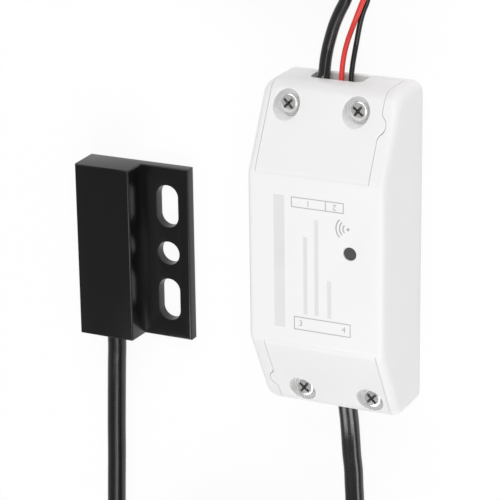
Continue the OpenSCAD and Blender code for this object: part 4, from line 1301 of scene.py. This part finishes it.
    def _mark_recess_shade(self, screw: Piece) -> None:
        """Mark the faces inside a screw's cross recess, which its finish darkens with painted shade.

        Args:
            screw: The screw, upright, with its head's seat at the origin.
        """
        mark = screw.data.attributes.new(RECESS_SHADE_MARK, "FLOAT", "FACE")
        (deep, wide), (low, high) = self.recess_shade_reach, self.recess_shade_heights
        for polygon in screw.data.polygons:
            x, y, z = polygon.center / MM
            inside = math.hypot(x, y) < (deep if z < 0.02 else wide)
            mark.data[polygon.index].value = float(inside and low < z < high)

    def _button(self) -> None:
        """A domed cap over the top of the pairing button's stem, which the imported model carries."""
        piece = Bench.turned("button_cap", self.button_profile, at(self.button_x, self.button_y, 0))
        Bench.dress(piece, BUTTON_GREY, "button_grey", body=Body.BUTTON)


@dataclass
class LabelPrint:
    """Thin grey print on the label face: frames for plain terminal numbers, a radio mark and blank rules."""

    face: float = 25.0
    ink: float = 0.02
    sunk: float = 0.01
    line: float = 0.22
    frames: tuple[tuple[Sequence[float], Sequence[float], Sequence[float]], ...] = (
        ((-6.5, 14.6), (8.0, 17.4), (2.9,)), ((-5.9, -18.4), (9.9, -14.8), ()))
    digit_size: float = 2.2
    digits: tuple[tuple[str, float, float, float], ...] = (
        ("1", -1.8, 16.0, 180), ("2", 5.5, 16.0, 180), ("3", -4.0, -16.6, 0), ("4", 8.0, -16.6, 0))
    mark: tuple[float, float] = (9.2, 10.6)
    dot_radius: float = 0.4
    arc_radii: tuple[float, ...] = (1.4, 2.35, 3.3)
    arc_half: float = 0.17
    wide_rule: tuple[tuple[float, float], tuple[float, float]] = ((-11.4, -18.2), (-8.4, 17.4))
    rules: tuple[tuple[float, float, float], ...] = (
        (-2.65, -13.9, 7.0), (0.45, -13.8, 11.9), (4.0, -14.1, -4.0))
    rule: float = 1.1

    def build(self) -> None:
        """Make the grey print and the pale rules, each as one thin piece."""
        parts = [bar for low, high, splits in self.frames for bar in self._frame(low, high, splits)]
        parts += self._waves()
        parts += [self._number(*digit) for digit in self.digits]
        Bench.dress(Bench.join("label_print", parts), PRINT_GREY, "button_grey")
        bars = [self._bar(*self.wide_rule)]
        for x, low, high in self.rules:
            bars.append(self._bar((x - self.rule / 2, low), (x + self.rule / 2, high)))
        Bench.dress(Bench.join("label_rules", bars), PRINT_PALE, "button_grey")

    def _bar(self, low: Sequence[float], high: Sequence[float]) -> Piece:
        """A thin bar of ink between two corners."""
        return Bench.block("bar", (*low, self.face - self.sunk), (*high, self.face + self.ink))

    def _frame(self, low: Sequence[float], high: Sequence[float], splits: Sequence[float]) -> list[Piece]:
        """A thin frame with upright splits.

        Args:
            low: Its lower left corner.
            high: Its upper right corner.
            splits: Where it is split.

        Returns:
            Its bars.
        """
        w, apart = self.line, self.line + self.sunk
        bars = [self._bar(low, (high[0], low[1] + w)), self._bar((low[0], high[1] - w), high)]
        for x in (low[0], *splits, high[0] - w):
            bars.append(self._bar((x, low[1] + apart), (x + w, high[1] - apart)))
        return bars

    def _waves(self) -> list[Piece]:
        """A plain radio mark: a dot with arcs beside it.

        Returns:
            The dot and the arcs.
        """
        (x, y), bottom = self.mark, self.face - self.sunk
        profile = [(self.dot_radius, bottom), (self.dot_radius, self.face + self.ink)]
        parts = [Bench.turned("dot", profile, at(x, y, 0), 24)]
        angles = [math.radians(135 + 90 * i / 16) for i in range(17)]
        for radius in self.arc_radii:
            outline = []
            for reach, turns in ((radius - self.arc_half, angles), (radius + self.arc_half, angles[::-1])):
                outline += [(x + reach * math.cos(a), y + reach * math.sin(a), bottom) for a in turns]
            parts.append(Bench.prism("arc", outline, (0, 0, self.ink + self.sunk)))
        return parts

    def _number(self, text: str, x: float, y: float, turn: float) -> Piece:
        """One plain number.

        Args:
            text: The number.
            x: Its middle.
            y: Its middle.
            turn: Turn in degrees.

        Returns:
            The number as a thin mesh.
        """
        Bench.clear()
        bpy.ops.object.text_add()
        words = bpy.context.object
        words.data.body = text
        words.data.size = self.digit_size * MM
        words.data.align_x, words.data.align_y = "CENTER", "CENTER"
        words.data.extrude = self.ink * MM
        bpy.ops.object.convert(target="MESH")
        piece = Bench.name(bpy.context.object, "number")
        spin = Matrix.Rotation(math.radians(turn), 4, "Z")
        piece.data.transform(Matrix.Translation(Vector((x, y, self.face)) * MM) @ spin)
        return piece


@dataclass
class DoorSensor:
    """The wired door sensor: a potted block with a slotted flange."""

    left: float = -78.2
    low_y: float = -36.0
    high_y: float = 13.0
    width: float = 31.1
    flange: float = 3.1
    block_width: float = 17.0
    block_top: float = 10.2
    draft: float = 0.3
    soft: float = 0.45
    rim_soft: float = 0.2
    cavity_low: tuple[float, float, float] = (-76.1, -34.2, -1.0)
    cavity_high: tuple[float, float, float] = (-63.3, 11.2, 8.4)
    bore_place: tuple[float, float, float] = (-69.8, -33.0, 4.2)
    bore_radius: float = 2.7
    slot_x: float = -53.5
    middle_y: float = -11.5
    slot_step: float = 13.4
    slot_width: float = 6.4
    slot_length: float = 11.9
    hole_radius: float = 3.25

    def build(self) -> None:
        """Make the sensor's moulding."""
        profile = [(0, 0), (self.width, 0), (self.width, self.flange), (self.block_width, self.flange),
                   (self.block_width - self.draft, self.block_top), (self.draft, self.block_top)]
        piece = Bench.prism("sensor_moulding", [(self.left + x, self.low_y, z) for x, z in profile],
                            (0, self.high_y - self.low_y, 0))
        Bench.bevel(piece, lambda e: sharp(e, 40) and min(v.co.z for v in e.verts) > 1 * MM
                    and not self._root(e), self.soft, 3)
        cuts = [Bench.block("cavity", self.cavity_low, self.cavity_high)]
        bore = [(self.bore_radius, 0), (self.bore_radius, 5)]
        cuts.append(Bench.turned("bore", bore, at(*self.bore_place, ALONG_BACK_Y)))
        straight = (self.slot_length - self.slot_width) / 2
        for way in (-1, 1):
            cuts.append(self._slot(self.middle_y + way * self.slot_step, straight))
        cuts.append(Bench.turned("hole", [(self.hole_radius, -1), (self.hole_radius, 5)],
                                 at(self.slot_x, self.middle_y, 0)))
        Bench.combine(piece, cuts)
        Bench.bevel(piece, self._rim, self.rim_soft, 2)
        Bench.dress(Bench.face_out(piece), SENSOR_BLACK, "sensor_black", ("sensor_housing",))

    def _root(self, edge: bmesh.types.BMEdge) -> bool:
        """Whether an edge is the inner corner between the block and the flange."""
        return all(
            abs(v.co.x / MM - self.left - self.block_width) < 0.1 and abs(v.co.z / MM - self.flange) < 0.1
            for v in edge.verts
        )

    def _slot(self, y: float, straight: float) -> Piece:
        """A cutter with round ends for one slot.

        Args:
            y: Middle of the slot.
            straight: Half the length between the centres of its ends.

        Returns:
            The cutter.
        """
        radius, outline = self.slot_width / 2, []
        for k in range(ROUND_SIDES):
            angle = 2 * math.pi * (k + 0.5) / ROUND_SIDES
            shift = math.copysign(straight, math.sin(angle))
            outline.append((self.slot_x + radius * math.cos(angle), y + shift + radius * math.sin(angle), -1))
        return Bench.prism("slot", outline, (0, 0, 6))

    def _rim(self, edge: bmesh.types.BMEdge) -> bool:
        """Whether an edge is the upper rim of a slot or of the round hole."""
        return sharp(edge, 60) and all(
            abs(v.co.z / MM - self.flange) < 0.02 and abs(v.co.x / MM - self.slot_x) < 3.4
            and abs(v.co.y / MM - self.middle_y) < 20 for v in edge.verts
        )


FINISHES: dict[str, Finish] = {
    "housing_white": HOUSING_WHITE, "screw_steel": SCREW_STEEL, "button_grey": BUTTON_GREY,
    "board_green": BOARD_GREEN, "terminal_green": TERMINAL_GREEN, "tinned_copper": TINNED_COPPER,
    "black_plastic": BLACK_PLASTIC, "ferrite": FERRITE, "copper_winding": COPPER_WIRE,
    "capacitor_sleeve": CAPACITOR_SLEEVE, "lamp_lens": LAMP_LENS, "relay_blue": RELAY_BLUE,
    "relay_iron": RELAY_IRON, "contact_brass": CONTACT_BRASS, "sensor_black": SENSOR_BLACK,
    "potting_black": POTTING, "reed_glass": REED_GLASS, "cord_black": CORD_BLACK, "tie_black": TIE_BLACK,
    "plug_black": PLUG_BLACK, "pin_nickel": PIN_NICKEL, "lead_black": LEAD_BLACK, "wire_red": WIRE_RED,
    "wire_black": WIRE_BLACK,
}


def dress_nodes() -> None:
    """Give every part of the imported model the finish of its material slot."""
    for part in frame["record"]["subparts"]:
        node = frame["nodes"][part["node"]]
        node.data.materials.clear()
        node.data.materials.append(FINISHES[part["material_slot"]].material())
        LOG.info("node %s: %s", node.name, part["material_slot"])


@dataclass
class Studio:
    """The camera at the photograph's angle, a white floor and soft light."""

    lens_mm: float = 172.8
    sensor_mm: float = 36.0
    eye: tuple[float, float, float] = (235.69, 204.73, 547.94)
    right: tuple[float, float, float] = (0.9015, -0.01311, -0.43258)
    down: tuple[float, float, float] = (0.13168, -0.94384, 0.30304)
    ahead: tuple[float, float, float] = (-0.41226, -0.33015, -0.84914)
    world_strength: float = 0.452
    glossy_strength: float = 0.25
    card_strength: float = 1.9
    card_lean: tuple[float, float] = (0.42, 0.3)
    card_dip: tuple[float, float] = (-0.33, 0.2)
    key_watts: float = 4.2
    key_place: tuple[float, float, float] = (0.5, 0.0, 0.87)
    key_size: tuple[float, float] = (2.2, 0.3)
    end_watts: tuple[float, float] = (3.8, 3.7)
    end_reach: float = 0.82
    end_rise: float = 0.57
    end_size: tuple[float, float] = (0.7, 0.36)
    fill_watts: float = 0.6
    fill_place: tuple[float, float, float] = (-0.9, 0.0, 0.45)
    fill_size: tuple[float, float] = (1.6, 0.3)
    floor_size: float = 8.0
    floor_colour: Colour = (0.9, 0.9, 0.9)
    floor_glow: float = 0.92

    def build(self) -> None:
        """Set the camera, the floor, the world and the lamps."""
        self._camera()
        self._floor()
        self._world()
        self._lamp("key", self.key_place, self.key_watts, self.key_size)
        self._lamp("far_end", (0, self.end_reach, self.end_rise), self.end_watts[0], self.end_size)
        self._lamp("near_end", (0, -self.end_reach, self.end_rise), self.end_watts[1], self.end_size)
        self._lamp("fill", self.fill_place, self.fill_watts, self.fill_size)
        view = bpy.context.scene.view_settings
        view.view_transform = "Standard"

    def _camera(self) -> None:
        """The camera, from its three axes and its eye point."""
        data = bpy.data.cameras.new("camera")
        data.lens, data.sensor_width, data.sensor_fit = self.lens_mm, self.sensor_mm, "HORIZONTAL"
        data.clip_start, data.clip_end = 0.01, 20
        camera = bpy.data.objects.new("camera", data)
        bpy.context.scene.collection.objects.link(camera)
        axes = Matrix((self.right, -Vector(self.down), -Vector(self.ahead))).transposed()
        camera.matrix_world = Matrix.Translation(Vector(self.eye) * MM) @ axes.to_4x4()
        bpy.context.scene.camera = camera

    def _floor(self) -> None:
        """A white floor that is nearly all glow to the camera and keeps a soft shadow."""
        Bench.clear()
        bpy.ops.mesh.primitive_plane_add(size=self.floor_size, location=(0, 0, 0))
        floor = Bench.name(bpy.context.object, "floor")
        material = bpy.data.materials.new("floor_white")
        material.use_nodes = True
        tree = material.node_tree
        nodes, links = tree.nodes, tree.links
        shader = nodes["Principled BSDF"]
        shader.inputs["Base Color"].default_value = (*self.floor_colour, 1)
        shader.inputs["Roughness"].default_value = 1.0
        shader.inputs["Specular IOR Level"].default_value = 0.0
        glow = nodes.new("ShaderNodeEmission")
        rays = nodes.new("ShaderNodeLightPath").outputs
        seen, mirrored = rays["Is Camera Ray"], rays["Is Glossy Ray"]
        share = self._maths(tree, "MULTIPLY_ADD", seen, self.floor_glow, mirrored)
        share.node.use_clamp = True
        mix = nodes.new("ShaderNodeMixShader")
        links.new(share, mix.inputs["Fac"])
        links.new(shader.outputs["BSDF"], mix.inputs[1])
        links.new(glow.outputs["Emission"], mix.inputs[2])
        links.new(mix.outputs["Shader"], nodes["Material Output"].inputs["Surface"])
        floor.data.materials.append(material)

    def _world(self) -> None:
        """Even white light from all round; reflections see a dim room with one long bright card."""
        world = bpy.data.worlds.new("soft_white")
        world.use_nodes = True
        tree = world.node_tree
        nodes, links = tree.nodes, tree.links
        back = nodes["Background"]
        back.inputs["Color"].default_value = (1, 1, 1, 1)
        split = nodes.new("ShaderNodeSeparateXYZ")
        links.new(nodes.new("ShaderNodeTexCoord").outputs["Generated"], split.inputs["Vector"])
        lean = self._maths(tree, "ARCTAN2", split.outputs["X"], split.outputs["Z"])
        across = self._maths(tree, "COMPARE", lean, *self.card_lean)
        along = self._maths(tree, "COMPARE", split.outputs["Y"], *self.card_dip)
        card, share = nodes.new("ShaderNodeMapRange"), nodes.new("ShaderNodeMapRange")
        card.inputs["To Min"].default_value = self.glossy_strength
        card.inputs["To Max"].default_value = self.card_strength
        links.new(self._maths(tree, "MULTIPLY", across, along), card.inputs["Value"])
        share.inputs["To Min"].default_value = self.world_strength
        links.new(card.outputs["Result"], share.inputs["To Max"])
        links.new(nodes.new("ShaderNodeLightPath").outputs["Is Glossy Ray"], share.inputs["Value"])
        links.new(share.outputs["Result"], back.inputs["Strength"])
        bpy.context.scene.world = world

    @staticmethod
    def _maths(
        tree: bpy.types.NodeTree, operation: str, *values: float | bpy.types.NodeSocket
    ) -> bpy.types.NodeSocket:
        """A maths node.

        Args:
            tree: The node tree that it goes into.
            operation: What it does.
            values: Its inputs in order, each a number or the output that feeds it.

        Returns:
            Its output.
        """
        node = tree.nodes.new("ShaderNodeMath")
        node.operation = operation
        for socket, value in zip(node.inputs, values):
            if isinstance(value, bpy.types.NodeSocket):
                tree.links.new(value, socket)
            else:
                socket.default_value = value
        return node.outputs["Value"]

    @staticmethod
    def _lamp(name: str, place: Sequence[float], watts: float, size: tuple[float, float]) -> None:
        """A large soft lamp that faces the object.

        Args:
            name: Its name.
            place: Where it stands, in metres.
            watts: Its power.
            size: Its level and its upright side in metres.
        """
        data = bpy.data.lights.new(name, "AREA")
        data.shape, data.energy = "RECTANGLE", watts
        data.size, data.size_y = size
        lamp = bpy.data.objects.new(name, data)
        bpy.context.scene.collection.objects.link(lamp)
        lamp.location = place
        lamp.rotation_euler = (Vector((0, 0, 0)) - lamp.location).to_track_quat("-Z", "Y").to_euler()


def main() -> None:
    """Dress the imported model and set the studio."""
    logging.basicConfig(level=logging.INFO, format="%(message)s")
    Studio().build()
    dress_nodes()
    Cables().build(CordEnds())
    Housing().build()
    LabelPrint().build()
    DoorSensor().build()
    Bench.clear()


if __name__ == "__main__":
    main()
